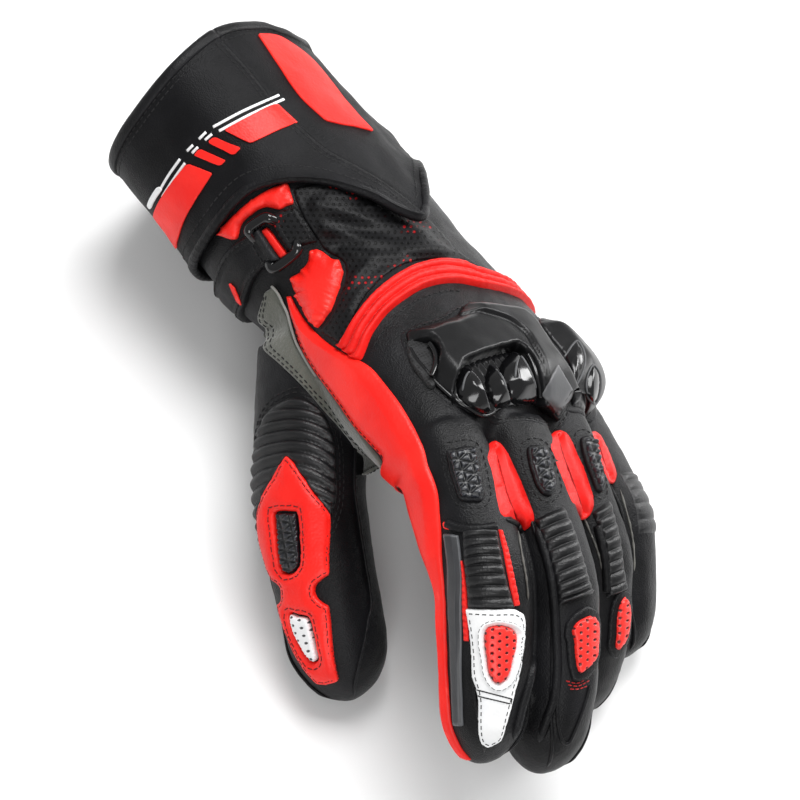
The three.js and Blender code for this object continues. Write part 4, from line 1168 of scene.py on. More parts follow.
# The palm: a patch of the same suede over its heel, turned under and sewn round. The rest of
# the palm is plain leather, as the photograph hides it.
PALM = [("t", 0.0, 134), ("t", 0.12, 134), ("t", 0.3, 140), ("t", 0.46, 146), ("t", 0.6, 156), ("t", 0.66, 180),
        ("t", 0.62, 215), ("t", 0.46, 226), ("t", 0.3, 228), ("t", 0.12, 228), ("t", 0.0, 226), ("t", -0.02, 180)]
heel = cut_piece("palm_patch", spot_on("palm", PALM), suede, "olive_suede", land=round_limb("palm"), thick=1.2,
                 soft=0.9, step=1.4, stands_for=["palm_heel_patch"])
sew_inset(heel, 1.6)

# The ribbed joints of the fingers and the thumb: black leather gathered into rounded ribs over
# each joint, so that it opens like a bellows when the finger bends.


def limb_rows(name, pairs, m, n):
    """Places on a limb between pairs of spots, each a pixel or ("t", share, turn)."""
    limb = LIMBS[name]
    ends = np.array([[(s[1], s[2]) if s[0] == "t" else limb_spot(name, *s) for s in pair] for pair in pairs])
    knots = np.linspace(0, 1, len(pairs))
    at = np.linspace(0, 1, m)
    line = np.stack([[curve(knots, ends[:, side, k])(at) for k in range(2)] for side in range(2)])
    w = np.linspace(0, 1, n)[None]
    share, turn = (line[0, k][:, None] * (1 - w) + line[1, k][:, None] * w for k in range(2))
    return limb.point(share, turn, 1.0)


RIBS = {
    "index": (8, 1.5, [((460, 528), (499, 528)), ((461, 555), (503, 552)), ((463, 580), (509, 578)),
                       ((465, 609), (517, 608))]),
    "middle": (9, 1.5, [((533, 520), (566, 506)), ((543, 545), (577, 531)), ((551, 570), (585, 556)),
                        ((556, 592), (591, 578)), ((558, 607), (596, 593))]),
    "ring": (8, 1.3, [((592, 512), (612, 500)), ((600, 531), (618, 521)), ((605, 553), (623, 545)),
                      ((606, 576), (626, 568)), ((607, 599), (629, 590))]),
    "little": (5, 0.6, [(("t", 0.34, 34), ("t", 0.33, -62)), (("t", 0.43, 36), ("t", 0.42, -62)),
                        (("t", 0.53, 38), ("t", 0.52, -60))]),
}
for name, (count, high, pairs) in RIBS.items():

    def fold(v, w, away):
        ridge = high * np.abs(np.sin(math.pi * count * v)) ** 0.5
        side = np.sin(math.pi * np.clip(w, 0.001, 0.999)) ** 0.3
        return ridge * side * ease(away / 1.4) + 0.04 * np.sin(w * 9 + v * 40) * ease(away / 2)

    band_piece(name + "_ribs", limb_rows(name, pairs, count * 16, 26), smooth_leather, "black_leather",
               thick=0.5 if name != "little" else 0.1, soft=1.0, relief=fold, even=2, stands_for=[name + "_ribs"])
# The thumb's ribs sink under its red patch, so the patch's outline stands here.
THUMB_PATCH = [(287, 455), (297, 466), (306, 480), (315, 493), (324, 504), (331, 516), (331, 535), (330, 555),
               (330, 575, 1), (321, 581), (315, 587), (315, 595), (321, 602), (329, 606, 1), (331, 625), (333, 650),
               (336, 668), (339, 681, 1), (328, 684), ("t", 0.925, 8, 1), ("t", 0.87, 17), ("t", 0.8, 26),
               ("t", 0.7, 33, 1), ("t", 0.69, 20), ("t", 0.66, 17), ("t", 0.64, 29, 1), ("t", 0.6, 38),
               ("t", 0.54, 42), ("t", 0.47, 34), (262, 497), (270, 480), (279, 464)]
thumb_patch_line = drawn(spot_on("thumb", THUMB_PATCH), 0.8)
THUMB_RIBS = [("t", 0.185, -20), ("t", 0.2, 2), ("t", 0.24, 20), ("t", 0.31, 33), ("t", 0.38, 41), ("t", 0.46, 46),
              ("t", 0.54, 47, 1), ("t", 0.545, 20), ("t", 0.54, -20), ("t", 0.52, -55, 1), ("t", 0.45, -72),
              ("t", 0.36, -74), ("t", 0.28, -66), ("t", 0.22, -48)]


def gathered(x, y, away):
    p = np.stack([x, y], 1)
    under = within(p, thumb_patch_line) * ease(to_edge(p, [thumb_patch_line]) / 1.6)
    folds = 1.45 * np.abs(np.sin(math.pi * (x - 0.012 * y * y) / 3.75)) ** 0.8 * ease(away / 2.2)
    return folds * (1 - under) - 1.6 * under


bellows = cut_piece("thumb_ribs", spot_on("thumb", THUMB_RIBS), smooth_leather, "black_leather",
                    land=round_limb("thumb"), 
                    thick=0.6, soft=1.2, step=0.5, even=3, stands_for=["thumb_ribs"],
                    relief=gathered)
for gap in (-1.4, -3.0):
    at, up = bellows.land(hand_skin, inset(bellows.loop, gap))
    sew(at, up, closed=True, thick=0.22)
LININGS = [[((499, 528), (504, 529)), ((504, 552), (511, 552)), ((509, 578), (517, 577)), ((515, 607), (522, 606))],
           [((459, 560), (461, 560)), ((460, 600), (466, 600)), ((462, 642), (468, 642))]]
for k, pairs in enumerate(LININGS):
    band_piece("index_red_lining_%d" % k, limb_rows("index", pairs, 90, 6), red_shaded_copy, "red_leather", thick=0.6,
               soft=0.5, relief=lambda v, w, d: 0.35 * np.abs(np.sin(math.pi * 12 * v)) * ease(d / 0.6))

# The knuckle pads: panels of pebbled rubber in stitched leather frames, one over each knuckle,
# and a narrow one let into the thumb's patch.
pebble = Finish("pebbled_rubber", (0.006, 0.007, 0.009), 0.3)
tone = pebble.noise(260.0, 3.0)
pebble.put(Base_Color=pebble.mix(pebble.worn().above(0.5, 0.56), (0.003, 0.0034, 0.0045), (0.014, 0.0155, 0.021)),
           Roughness=tone * 0.2 + 0.24)
pebble.bump(tone, 0.0001)


def facets(x, y, pitch=3.9, high=1.0):
    """Small rounded three-sided pebbles, close together."""
    s, t = (x - y / 3**0.5) / pitch, 2 * y / 3**0.5 / pitch
    fs, ft = s - np.floor(s), t - np.floor(t)
    lower = fs + ft < 1
    edge = np.where(lower, np.minimum(np.minimum(fs, ft), 1 - fs - ft),
                    np.minimum(np.minimum(1 - fs, 1 - ft), fs + ft - 1))
    ds, dt = (f - np.where(lower, 1 / 3, 2 / 3) for f in (fs, ft))
    crown = 1 - (ds * ds + ds * dt + dt * dt) / 0.2
    return high * np.clip(np.minimum(crown * 1.2, (edge - 0.02) / 0.15), 0, 1)


PADS = {
    "index": [(446, 450), (456, 447), (468, 445), (476, 447), (480, 455), (482, 467), (484, 482), (486, 494),
              (483, 501), (473, 502), (462, 501), (457, 496), (453, 484), (448, 467)],
    "middle": [(527, 447), (535, 444), (544, 445), (549, 452), (553, 466), (557, 480), (557, 490), (551, 496),
               (543, 494), (537, 487), (532, 475), (528, 461)],
    "ring": [(581, 438), (588, 435), (595, 441), (599, 455), (603, 470), (606, 485), (603, 493), (597, 490),
             (591, 476), (585, 460)],
}
for name, spots in PADS.items():
    land = round_limb(name)
    border = cut_piece(name + "_pad_frame", spot_on(name, spots), black_leather, "black_leather", land=land,
                       thick=1.5, soft=1.0, step=0.6, under=0.5)
    at, up = land(hand_skin, inset(border.loop, -1.7))
    sew(at, up, closed=True, thick=0.22)
    inner = inset(border.loop, 1.0)[::4]
    cut_piece(name + "_knuckle_pad", inner, pebble, "pebble_rubber", skin=hand_skin, land=land, thick=1.9, soft=0.8,
              step=0.32, even=5, relief=lambda x, y, d: facets(x, y) * ease(d / 0.8),
              stands_for=[name + "_knuckle_pad"])

# The finger inserts: a white leather pad and red perforated sliders moulded over the ends of
# the fingers, the white one closed by a double seam.
grey_plastic = Finish("grey_plastic", (0.055, 0.058, 0.065), 0.42)
tone = grey_plastic.noise(300.0, 3.0)
grey_plastic.put(Base_Color=grey_plastic.mix(grey_plastic.worn().above(0.51, 0.56), (0.022, 0.023, 0.026),
                                             (0.08, 0.083, 0.09)),
                 Roughness=tone * 0.15 + 0.36)
grey_plastic.bump(grey_plastic.noise(1500.0, 2.0), 0.00005)
SIDE = [((442, 533), (458, 534)), ((446, 560), (461, 560)), ((447, 600), (461, 600)), ((449, 640), (461, 640)),
        ((451, 680), (461, 680)), ((453, 727), (463, 728))]
band_piece("index_side_strip", limb_rows("index", SIDE, 120, 14), grey_plastic, "grey_plastic", thick=1.5, soft=0.8,
           relief=lambda v, w, d: -0.7 * ease((w - 0.7) / 0.08), stands_for=["index_side_strip"])
cut_piece("index_red_tab", spot_on("index", [(441, 521, 1), (455, 523, 1), (457, 531, 1), (442, 530, 1)]),
          red_leather, "red_leather", land=round_limb("index"), thick=0.9, soft=0.6, step=0.6)

HOLE = 2.55  # millimetres from one punched hole to the next


def dots(x, y):
    """Distance to the nearest punched hole."""
    row = np.round(y / (HOLE * LATTICE_ROW))
    dx = x / HOLE + 0.5 * (row % 2)
    return np.hypot((dx - np.round(dx)) * HOLE, y - row * HOLE * LATTICE_ROW)


def punched(made, low, high):
    """1 inside the punched holes of a finish; low and high are squares of their edge's radii."""
    x, y, _ = made.parts(made.flat())
    row = made.node("ShaderNodeMath", {"operation": "FLOOR"}, {0: y / (HOLE * LATTICE_ROW) + 0.5})
    odd = made.node("ShaderNodeMath", {"operation": "FLOORED_MODULO"}, {0: row, 1: 2.0})
    dx = x / HOLE + odd * 0.5
    dx = dx - made.node("ShaderNodeMath", {"operation": "FLOOR"}, {0: dx + 0.5})
    dy = y - row * (HOLE * LATTICE_ROW)
    return 1 - ((dx * HOLE) ** 2.0 + dy**2.0).above(low, high)


def holed(x, y, away):
    """A low dome with punched holes."""
    return 0.35 * ease(away / 3) - 0.8 * (1 - ease((dots(x, y) - 0.25) / 0.3)) * ease(away / 0.8)


slider = Finish("red_slider", (0.78, 0.02, 0.014), 0.4)
holes = punched(slider, 0.16, 0.30)
slider_red = slider.mix(slider.noise(90.0), (0.70, 0.014, 0.010), (0.86, 0.03, 0.02))
slider.put(Base_Color=slider.mix(holes, slider_red, (0.10, 0.002, 0.003)))
slider.bump(slider.noise(1300.0, 2.0), 0.00006)
INSERTS = {
    "index": [(488, 627), (500, 625), (511, 628), (516, 634), (516, 646), (513, 660), (510, 672), (506, 680),
              (499, 684), (493, 681), (488, 672), (486, 658), (484, 644), (484, 633)],
    "middle": [(573, 641), (571, 631), (575, 623), (582, 618), (589, 615), (594, 616), (597, 624), (597, 640),
               (596, 654), (592, 664), (586, 670), (579, 674), (576, 667), (574, 654)],
    "ring": [(619, 603), (624, 596), (628, 601), (629, 614), (627, 630), (623, 643), (617, 650), (614, 647),
             (615, 633), (616, 617)],
}
WHITE = [(464, 608, 1), (490, 609), (515, 609), (524, 614), (526, 624), (525, 645), (523, 662), (520, 678),
         (516, 692), (512, 708), (507, 726), (502, 740), (494, 746), (487, 748), (481, 744), (478, 735), (477, 720),
         (477, 702), (475, 690), (471, 676), (470, 655), (468, 632)]
insert_line = drawn(spot_on("index", INSERTS["index"]), 0.6)


def ridge_round(x, y, away):
    """A low ridge round the red insert."""
    return 0.7 * np.exp(-((to_edge(np.stack([x, y], 1), [insert_line]) - 1.3) / 0.7) ** 2)


white = cut_piece("index_white_pad", spot_on("index", WHITE), white_leather, "white_leather",
                  land=round_limb("index"), 
                  thick=1.5, soft=1.0, step=0.5, stands_for=["index_white_pad"],
                  holes=[inset(insert_line, 0.3)[::2]],
                  relief=ridge_round)
sew_inset(white, 1.5, thick=0.24, pitch=2.3, long=1.2)
at, up = white.on_top(inset(insert_line, -2.1), 2.0)
sew(at, up, "grey", closed=True, thick=0.2, pitch=2.0, long=1.2)
for a, b in (((477, 690), (512, 699)), ((477, 696), (511, 704))):
    line = np.linspace(a, b, 20)
    at, up = by_sight(white.skin, line)
    sew(at, up, pitch=1.1, long=1.1, thick=0.3)
at, up = by_sight(white.skin, np.linspace((512, 699), (511, 704), 5))
sew(at, up, pitch=0.8, long=0.8, thick=0.3)
for name, spots in INSERTS.items():
    land = round_limb(name)
    if name != "index":
        border = cut_piece(name + "_insert_frame", inset(drawn(spot_on(name, spots), 0.8), -2.6)[::3],
                           black_leather, "black_leather", land=land, thick=1.3, soft=1.3, step=0.7)
        sew_inset(border, 0.9, thick=0.22)
    cut_piece(name + "_red_insert", spot_on(name, spots), slider, "red_plastic", land=land, thick=2.3,
              soft=1.1, step=0.3, even=5, under=0.4, stands_for=[name + "_red_insert"],
              relief=holed)
for k in range(3):
    line = drawn([(566 + k * 2, 681 + k * 4), (578, 683 + k * 3), (590, 675 + k * 5)], 1.5, False)
    at, up = by_sight(hand_skin, line)
    sew(at, up, "red", thick=0.22, pitch=1.9, long=1.4)

# The thumb's patch: red leather sewn round the outer side of the thumb, waisted at the joint,
# with a pebbled strip and a white perforated window let into it.
THUMB_PEBBLE = [(275, 512, 1), (297, 512, 1), (299, 535), (300, 555), (299, 566), (291, 574), (283, 571),
                (280, 560), (277, 535)]
THUMB_WHITE = [(291, 613), (300, 615), (309, 618), (313, 632), (316, 648), (318, 658), (314, 663), (309, 660),
               (301, 648), (294, 632)]
windows = [spot_on("thumb", THUMB_PEBBLE), spot_on("thumb", THUMB_WHITE)]
window_lines = [drawn(w, 0.6) for w in windows]
on_thumb = round_limb("thumb")
patch = cut_piece("thumb_red_patch", spot_on("thumb", THUMB_PATCH), red_leather, "red_leather", land=on_thumb,
                  thick=2.0, soft=1.3, step=0.6, holes=windows, under=1.0, stands_for=["thumb_red_patch"],
                  relief=lambda x, y, d: 0.5 * ease(d / 4) - 0.25 * np.exp(-((d - 1.6) / 0.5) ** 2))
sew_inset(patch, 1.6, "dark_red", thick=0.26)
for line in window_lines:
    at, up = patch.on_top(inset(line, -1.5), 2.0)
    sew(at, up, "dark_red", closed=True, thick=0.26)
cut_piece("thumb_pebble_insert", inset(window_lines[0], 0.35)[::2], pebble, "pebble_rubber", land=on_thumb,
          thick=1.3, soft=0.6, step=0.32,
          relief=lambda x, y, d: facets(x, y, 3.3, 0.9) * ease(d / 0.6), edge=0.5, stands_for=["thumb_pebble_insert"])
punched_white = Finish("punched_white", (0.78, 0.78, 0.79), 0.45)
punched_white.put(Base_Color=punched_white.mix(punched(punched_white, 0.12, 0.24), (0.78, 0.78, 0.79),
                                               (0.08, 0.08, 0.085)))
punched_white.bump(punched_white.noise(1300.0, 2.0), 0.00006)
cut_piece("thumb_white_insert", inset(window_lines[1], 0.3)[::2], punched_white, "white_leather", land=on_thumb,
          thick=2.2, soft=1.0, step=0.32,
          relief=lambda x, y, d: -0.7 * (1 - ease((dots(x, y) - 0.2) / 0.28)) * ease(d / 0.8),
          stands_for=["thumb_white_insert"])

# The webs: red leather let in between the fingers over a stretch panel, with a fold down the
# middle of each. A thin dark red rod laid along each fold is painted shade.
WEBS = {
    "index_middle_web": ([(486, 448), (489, 442), (495, 439), (501, 443), (508, 453), (514, 466), (521, 481),
                          (527, 496), (533, 511), (536, 521, 1), (529, 528), (522, 534, 1), (517, 525), (510, 519),
                          (501, 518, 1), (498, 505), (495, 487), (491, 468), (487, 457)],
                         [(495, 446), (499, 465), (506, 490), (514, 512), (521, 530)]),
    "middle_ring_web": ([(549, 437), (553, 431), (560, 429), (567, 432), (572, 441), (578, 455), (584, 468),
                         (589, 482), (593, 495), (595, 506, 1), (590, 516), (582, 523, 1), (578, 512),
                         (571, 503, 1), (568, 492), (562, 478), (556, 462), (551, 448)],
                        [(558, 434), (562, 452), (570, 474), (578, 496), (584, 516)]),
    "ring_little_web": ([(588, 434), (594, 429), (600, 434), (606, 445), (612, 459), (617, 474), (616, 484, 1),
                         (610, 486), (605, 474), (596, 456), (591, 443)],
                        [(596, 435), (602, 455), (608, 475), (611, 481)]),
}
strands = []
for name, (spots, crease) in WEBS.items():
    line = drawn(crease, 1.5, False)

    def tucked(x, y, d):
        gap = np.linalg.norm(np.stack([x, y], 1)[:, None] - line[None], axis=-1).min(1) * PIXEL
        return 0.7 * ease(d / 3) - 2.4 * np.exp(-((gap / 0.95) ** 2)) * ease(d / 1.2)

    web = cut_piece(name, spots, red_shaded_copy, "red_leather", thick=0.9, soft=1.0, step=0.6, film=True, relief=tucked,
                    under=1.5, stands_for=[name])
    # A thin dark red rod along the fold: painted shade in the crease.
    at, up = by_sight(web.skin, line[2:-2])
    thin = 0.5 * thinned(len(at), 6, 0.1)
    strands.append(rod(evened(at, 12) + evened(up, 12) * 0.05, thin, 8, squash=0.6, ups=up))
# The rods' dark red is painted shade, not a colour of the leather.
crease_painted_shade = leather("crease_painted_shade", (0.22, 0.003, 0.003), (0.34, 0.005, 0.004), 0.6, Specular_IOR_Level=0.1)
mesh_piece("web_fold_painted_shade", *joined(strands), crease_painted_shade, "red_leather")

# The side seams of the fingers and the thumb: welted seams that stand up from the leather, from
# the knuckles round the fingertips, with their edges worn lighter.
strands = []
for name, lines in {
    "index": [(64, 0.62, 0.95), (-62, 0.14, 0.96)],
    "middle": [(58, 0.2, 0.96), (-60, 0.22, 0.96)],
    "ring": [(56, 0.22, 0.96), (-58, 0.22, 0.96)],
    "little": [(62, 0.24, 0.96), (-66, 0.14, 0.96)],
    "thumb": [(70, 0.12, 0.99), (-96, 0.12, 0.99)],
}.items():
    for turn, start, end in lines:
        share = np.linspace(start, end, 160)
        bend = turn * (1 - 0.5 * ease((share - 0.72) / 0.26))
        thin = 0.62 * ease(np.minimum(share - start, end - share) / 0.04 + 0.15)
        base, out = on_skin(hand_skin, LIMBS[name].point(share, bend, 1.0))
        strands.append(rod(base + out * thin[:, None] * 0.5, thin, 8, ups=out))
ROLLS = {
    "index": [(503, 519), (515, 524), (523, 540), (529, 560), (533, 582), (534, 604), (534, 640), (530, 675),
              (522, 706), (513, 742)],
    "middle": [(535, 523), (543, 546), (550, 572), (554, 600), (556, 634), (557, 668), (554, 698), (546, 722),
               (538, 745)],
    "ring": [(596, 522), (602, 546), (606, 570), (607, 596)],
    "middle_tip": [(561, 668), (558, 690), (557, 712), (559, 732), (566, 746), (575, 730), (584, 706), (591, 682)],
    "index_top": [(443, 521), (458, 528), (480, 529), (500, 526)],
}
for name, spots in ROLLS.items():
    at, up = by_sight(hand_skin, drawn(spots, 2.0, False))
    t = np.linspace(0, 1, len(at))
    thick = (0.6 if name == "middle_tip" else 1.6) * ease(np.minimum(t, 1 - t) / 0.08 + 0.2)
    strands.append(rod(evened(at, 8) + evened(up, 8) * 0.15, thick, 10, ups=up))
mesh_piece("finger_seams", *joined(strands), black_leather, "black_leather")
EDGES = [[(536, 523), (543, 546), (549, 570), (554, 598), (555, 630)],
         [(598, 514), (603, 535), (606, 560), (607, 592)], [(581, 511), (590, 532), (598, 552), (603, 574),
                                                            (605, 592)],
         [(619, 486), (626, 510), (631, 530), (634, 552), (634, 575)],
         [(517, 527), (521, 552), (526, 580), (528, 604)]]
strands = []
for spots in EDGES:
    at, up = by_sight(hand_skin, drawn(spots, 2.0, False))
    t = np.linspace(0, 1, len(at))
    thin = 0.34 * ease(np.minimum(t, 1 - t) / 0.15 + 0.1) * (1 + 0.3 * np.sin(t * 37 + 2 * np.sin(t * 11)))
    strands.append(rod(evened(at, 10) + evened(up, 10) * 0.25, thin, 8, ups=up))
cut_edge = leather("cut_edge", (0.07, 0.068, 0.062), (0.2, 0.195, 0.18), 0.6, Specular_IOR_Level=0.2)
mesh_piece("finger_seam_edges", *joined(strands), cut_edge, "black_leather")

# The knuckle guards: two shells of satin injection-moulded plastic, domed over the knuckles and
# sewn down through a padded leather base. The first has a vent of dark mesh and a window with
# three glossy fins, the second two almond inserts.


def facing(tilt):
    """Flat millimetres on a plane over the hand, tilted to its outer side."""
    right, ahead, up = (LIES @ turned("Y", tilt)).T
    origin = LIMBS["palm"].origin

    def land(skin, spots, lift=0.0):
        spots = np.asarray(spots, float)
        seeds = origin + spots[:, :1] * right + spots[:, 1:2] * ahead
        got = [skin.ray_cast(Vector(s + up * 150), Vector(-up)) for s in seeds]
        hit = np.array([g[0] is not None for g in got])
        base = np.array([g[0] if g[0] is not None else (0, 0, 0) for g in got], float)
        out = np.array([g[1] if g[0] is not None else (0, 0, 1) for g in got], float)
        if not hit.all():
            base[~hit], out[~hit] = on_skin(skin, seeds[~hit] + up * 18)
        return base, out

    def flat(spots):
        """From pixels (x, y, height over the leather) or ("t", share, turn) of the palm."""
        made = []
        for s in spots:
            if s[0] == "t":
                place, corner = LIMBS["palm"].point(s[1], s[2], 2.0), s[3:]
            else:
                base, out = by_sight(hand_skin, [s[:2]], s[2])
                place, corner = base[0] + out[0] * s[2], s[3:]
            made.append(((place - origin) @ right, (place - origin) @ ahead, *corner))
        return made

    land.flat = flat
    return land


def plastic(name, dark, light, low, high):
    made = Finish(name, dark, (low + high) / 2, Specular_IOR_Level=0.28)
    smear = made.noise(70.0, 4.0)
    made.put(Base_Color=made.mix(made.worn().above(0.505, 0.57), dark, light), Roughness=smear * (high - low) + low)
    made.bump(made.noise(1400.0, 2.0) * 0.6 + made.noise(40.0, 2.0) * 0.4, 0.00008)
    return made


satin_plastic = plastic("satin_plastic", (0.004, 0.004, 0.0045), (0.012, 0.012, 0.013), 0.26, 0.4)
dull_plastic = plastic("dull_plastic", (0.07, 0.071, 0.074), (0.16, 0.16, 0.165), 0.35, 0.5)
over_knuckles = facing(4)
CREST_OUT = [(466, 302, 4), (480, 301, 5), (500, 301, 6.5), (515, 303, 7), (530, 309, 7), (543, 319, 7),
             (553, 333, 7), (560, 350, 6.5), (566, 366, 5.5), (573, 381, 4), (576, 392, 3)]
CREST_IN = [(462, 311, 5), (480, 312, 6), (500, 315, 7), (515, 322, 7), (525, 332, 7), (533, 343, 7), (538, 356, 6.5),
            (541, 371, 6), (541, 386, 5)]
FAR_SIDE = [("t", 0.565, -4), ("t", 0.6, -11), ("t", 0.66, -14.5), ("t", 0.72, -15.5), ("t", 0.78, -15),
            ("t", 0.84, -14.5)]
TIP = [(573, 392, 2.5), (569, 405, 2), (561, 420, 1.5, 1), (549, 406, 2.5), (541, 396, 3, 1)]
WINDOW_EDGE = [(541, 387, 5), (539, 371, 6), (535, 356, 6.5), (529, 345, 7), (520, 339, 7, 1), (508, 342, 7),
               (495, 345, 7), (482, 350, 7), (470, 357, 6.5), (465, 367, 6), (462, 381, 5.5), (460, 397, 4, 1)]
LOW_EDGE = [(450, 391, 2), (440, 381, 2), (430, 369, 2), (420, 357, 2), (412, 343, 2), (407, 330, 1.5, 1)]
TOP_EDGE = [(418, 326, 2), (432, 322, 2), (448, 316, 2.5), (461, 309, 3)]
outer_line = over_knuckles.flat(LOW_EDGE + TOP_EDGE + [(466, 301, 3)] + FAR_SIDE + [(574, 391, 2)] + TIP[1:3])
outer_line = drawn(outer_line, 0.8, False)
outer_line = np.concatenate([outer_line, outer_line[::-1]])  # there and back, so that it counts as closed
crest_line = CREST_IN + [(552, 400, 3), (561, 410, 2), (573, 392, 2)] + FAR_SIDE[::-1] + [(464, 303, 3)]
crest_loop = drawn(over_knuckles.flat(crest_line), 0.8)
outline = over_knuckles.flat(LOW_EDGE + TOP_EDGE + [(466, 301, 3)] + FAR_SIDE + TIP + WINDOW_EDGE)
VENT = over_knuckles.flat([(417, 336, 3.5), (428, 337, 4), (438, 340, 4.5), (444, 347, 5), (444, 357, 5),
                           (441, 367, 4.5), (437, 376, 4), (429, 370, 3.5), (421, 359, 3.5), (416, 347, 3)])


def domed(x, y, away):
    p = np.stack([x, y], 1)
    over = 4.8 * ease(to_edge(p, [outer_line]) / 7.0 + 0.05)
    crest = within(p, crest_loop) * to_edge(p, [crest_loop])
    return over + 1.3 * ease(crest / 1.1) - 0.5 * np.exp(-((to_edge(p, [crest_loop]) / 0.45) ** 2)) * ease(away / 1.2)


base_line = over_knuckles.flat([(401, 331, 1), (416, 322, 1), (440, 314, 1), (458, 303, 1), ("t", 0.54, -6),
                                ("t", 0.57, -22), ("t", 0.66, -29), ("t", 0.78, -31), ("t", 0.87, -30),
                                (583, 396, 1), (574, 412, 1), (562, 428, 1), (546, 424, 1), (530, 420, 1),
                                (510, 420, 1), (490, 418, 1), (470, 411, 1), (448, 401, 1), (430, 386, 1),
                                (414, 366, 1), (404, 348, 1)])
base = cut_piece("guard_base", base_line, black_leather, "black_leather", land=over_knuckles, thick=0.5, soft=4.0,
                 step=1.0)
sew_inset(base, 1.6)
floor_line = over_knuckles.flat([(466, 352, 3), (490, 340, 3), (520, 330, 4), (538, 345, 4), (546, 370, 3),
                                 (546, 392, 2), (530, 402, 1), (505, 406, 1), (490, 413, 1), (474, 409, 1),
                                 (456, 398, 2), (457, 375, 3)])
cut_piece("guard_floor", floor_line, gloss_plastic, "gloss_plastic", land=over_knuckles, thick=1.5, soft=0.8,
          step=0.9,
          relief=lambda x, y, d: 0.3 * np.sin(x * 2.2) * ease(d / 2))
guard = cut_piece("knuckle_guard", outline, satin_plastic, "satin_plastic", land=over_knuckles, thick=1.9, soft=0.9,
                  step=0.6, holes=[VENT], relief=domed, even=10, stands_for=["knuckle_guard"])
cut_piece("guard_tip", [(558, 363, 1), (566, 377, 1), (574, 391, 1), (569, 404), (561, 420, 1), (550, 405),
                        (541, 395, 1), (549, 381, 1)],
          dull_plastic, "satin_plastic", skin=guard.skin, thick=0.6, soft=0.3, step=0.5, under=0.3)
# Each rim: its line, its height over the leather and its radius, in millimetres.
RIMS = [
    (LOW_EDGE[-2::-1] + [(450, 391, 2), (460, 399, 2), (470, 405, 2), (480, 409, 2), (490, 408, 2), (498, 403, 2)],
     1.5, 0.7),
    ([(431, 338, 4), (438, 345, 4), (441, 355, 4), (440, 365, 4), (436, 374, 4)], 3.2, 0.95),
    ([(541, 387, 5), (539, 371, 6), (535, 356, 6.5), (529, 345, 6.5)], 4.2, 0.95),
]
strands = []
for spots, lift, radius in RIMS:
    at, up = over_knuckles(hand_skin, drawn(over_knuckles.flat(spots), 0.8, False))
    strands.append(rod(evened(at + up * lift, 8), radius, 8, ups=up))
mesh_piece("guard_rims", *joined(strands), gloss_plastic, "gloss_plastic")
FINS = {
    "guard_fin_1": [(462, 397, 2), (461, 384, 4), (465, 367, 6), (472, 353, 7, 1), (481, 360, 7), (488, 373, 6),
                    (493, 388, 5), (493, 402, 2.5), (485, 408, 2), (473, 406, 2)],
    "guard_fin_2": [(496, 402, 2), (492, 387, 4), (491, 370, 6), (496, 350, 7, 1), (503, 364, 6), (509, 382, 5),
                    (510, 398, 2)],
    "guard_fin_3": [(514, 398, 2), (510, 385, 4), (507, 370, 6), (509, 352, 7), (519, 339, 7, 1), (528, 350, 7),
                    (535, 364, 6.5), (539, 379, 5.5), (538, 395, 2.5), (527, 398, 2)],
}
# Light grey lines along the fins' edges: painted highlights, laid as thin raised rods in the dull plastic.
FIN_PAINTED_HIGHLIGHTS = {
    "guard_fin_1": [[(475, 357), (481, 368), (486, 380), (490, 392), (491, 401)],
                    [(471, 367), (465, 379), (462, 394)]],
    "guard_fin_2": [[(498, 360), (501, 370), (504, 381), (507, 392)]],
    "guard_fin_3": [[(521, 343), (528, 352), (533, 365), (536, 380), (535, 392)],
                    [(519, 356), (516, 368), (515, 381)]],
}
strands = []
for name, spots in FINS.items():
    fin = cut_piece(name, over_knuckles.flat(spots), gloss_plastic, "gloss_plastic", land=over_knuckles, thick=1.6,
                    soft=0.4,
                    step=0.4, relief=lambda x, y, d: 5.2 * np.clip(d / 4.0, 0, 1) ** 0.8, stands_for=[name])
    for edge in FIN_PAINTED_HIGHLIGHTS[name]:
        at, up = by_sight(fin.skin, drawn(edge, 1.5, False))
        thin = 0.42 * thinned(len(at), 4, 0.2)
        strands.append(rod(evened(at, 10) + evened(up, 10) * 0.1, thin, 8, ups=up))
# The fins' painted highlight lines, in the lighter dull plastic.
mesh_piece("guard_fin_painted_highlights", *joined(strands), dull_plastic, "gloss_plastic")
mesh_fabric = Finish("mesh_fabric", (0.02, 0.02, 0.022), 0.8)
net = mesh_fabric.cells(900.0, random=0.1)
mesh_fabric.put(Base_Color=mesh_fabric.mix(net.above(0.2, 0.5), (0.001, 0.001, 0.001), (0.014, 0.014, 0.015)))
mesh_fabric.bump(net, 0.0004)
cut_piece("guard_vent_mesh", over_knuckles.flat([(413, 334, 3), (430, 333, 4), (447, 342, 5), (448, 358, 5),
                                                 (440, 380, 4), (426, 371, 3), (414, 350, 3)]),
          mesh_fabric, "black_leather", land=over_knuckles, thick=1.8, soft=0.6, step=0.7)

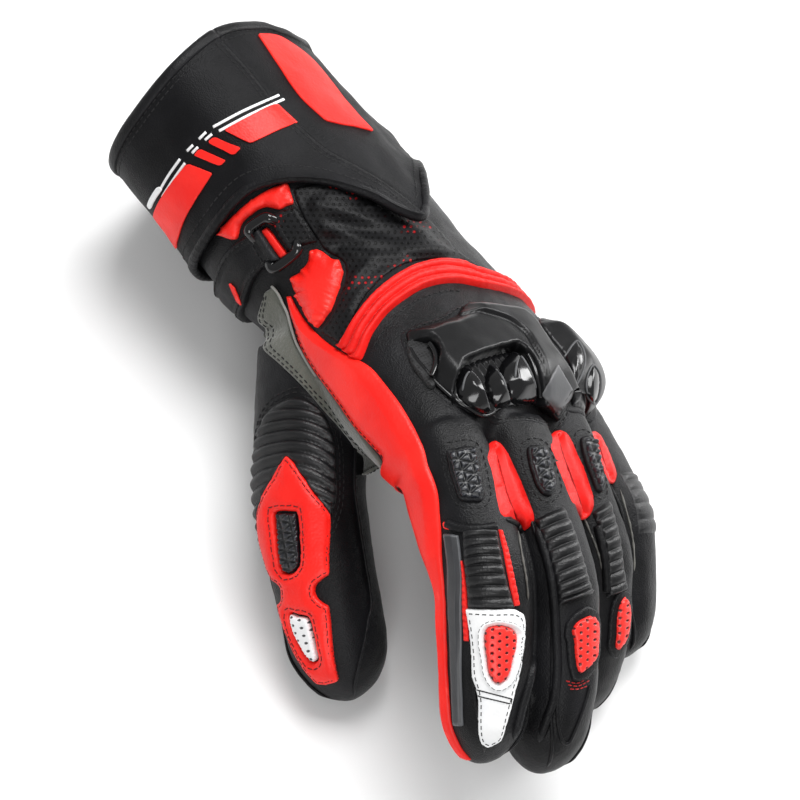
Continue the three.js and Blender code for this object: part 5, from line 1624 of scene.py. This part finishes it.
over_outer = facing(42)
OUTER_GUARD = [("t", 0.61, -34), ("t", 0.65, -28), ("t", 0.72, -27), ("t", 0.8, -27), ("t", 0.86, -27),
               (573, 393, 3), (578, 405, 2), (590, 416, 2), ("t", 0.92, -80), ("t", 0.86, -73), ("t", 0.77, -62),
               ("t", 0.69, -52), ("t", 0.63, -43)]
ALMONDS = [[(577, 340, 1), (583, 350), (585, 362), (581, 376), (575, 387, 1), (568, 377), (563, 364), (569, 350)],
           [(593, 364, 1), (599, 374), (600, 386), (598, 397), (594, 405, 1), (588, 396), (586, 385), (588, 374)]]
cut_piece("outer_guard_base", inset(drawn(over_outer.flat(OUTER_GUARD), 1.0), -2.6)[::5], black_leather,
          "black_leather", land=over_outer, thick=0.9, soft=2.5, step=1.1)
outer_guard_line = drawn(over_outer.flat(OUTER_GUARD), 0.8)
outer_guard = cut_piece("outer_knuckle_guard", over_outer.flat(OUTER_GUARD), satin_plastic, "satin_plastic",
                        land=over_outer, 
                        thick=2.0, soft=0.9, step=0.6, even=10, stands_for=["outer_knuckle_guard"],
                        relief=lambda x, y, d: 4.4 * ease(to_edge(np.stack([x, y], 1), [outer_guard_line]) / 8.0))
strands = []
for k, spots in enumerate(ALMONDS):
    cut_piece("outer_guard_fin_%d" % (k + 1), spots, gloss_plastic, "gloss_plastic", skin=outer_guard.skin,
              thick=0.5, soft=0.3, step=0.4,
              relief=lambda x, y, d: 1.2 * np.clip(d / 2.6, 0, 1))
    at, up = by_sight(outer_guard.skin, drawn(spots, 1.5))
    strands.append(rod(evened(at, 4, True) + up * 0.25, 0.42, 8, True, ups=up))
mesh_piece("outer_guard_rims", *joined(strands), dull_plastic, "satin_plastic")
at, up = by_sight(hand_skin, drawn([(374, 346), (386, 326), (402, 309), (422, 298), (444, 291), (462, 291)], 2.0,
                                   False))
sew(at, up)

# The stitching: twisted polyester thread in colours close to the leather's, standing up a little
# from every row sewn above.
THREAD_COLOURS = {"black": (0.006, 0.006, 0.007), "dark_red": (0.16, 0.004, 0.006), "grey": (0.30, 0.30, 0.30),
                  "red": (0.6, 0.01, 0.01)}
for thread, rods in THREADS.items():
    twine = Finish("thread_" + thread, THREAD_COLOURS[thread], 0.7)
    twist = twine.node("ShaderNodeTexWave", {"bands_direction": "DIAGONAL"}, {"Scale": 900.0})
    twine.bump(twist, 0.0001)
    mesh_piece("stitches_" + thread, *joined(rods), twine, "black_leather")
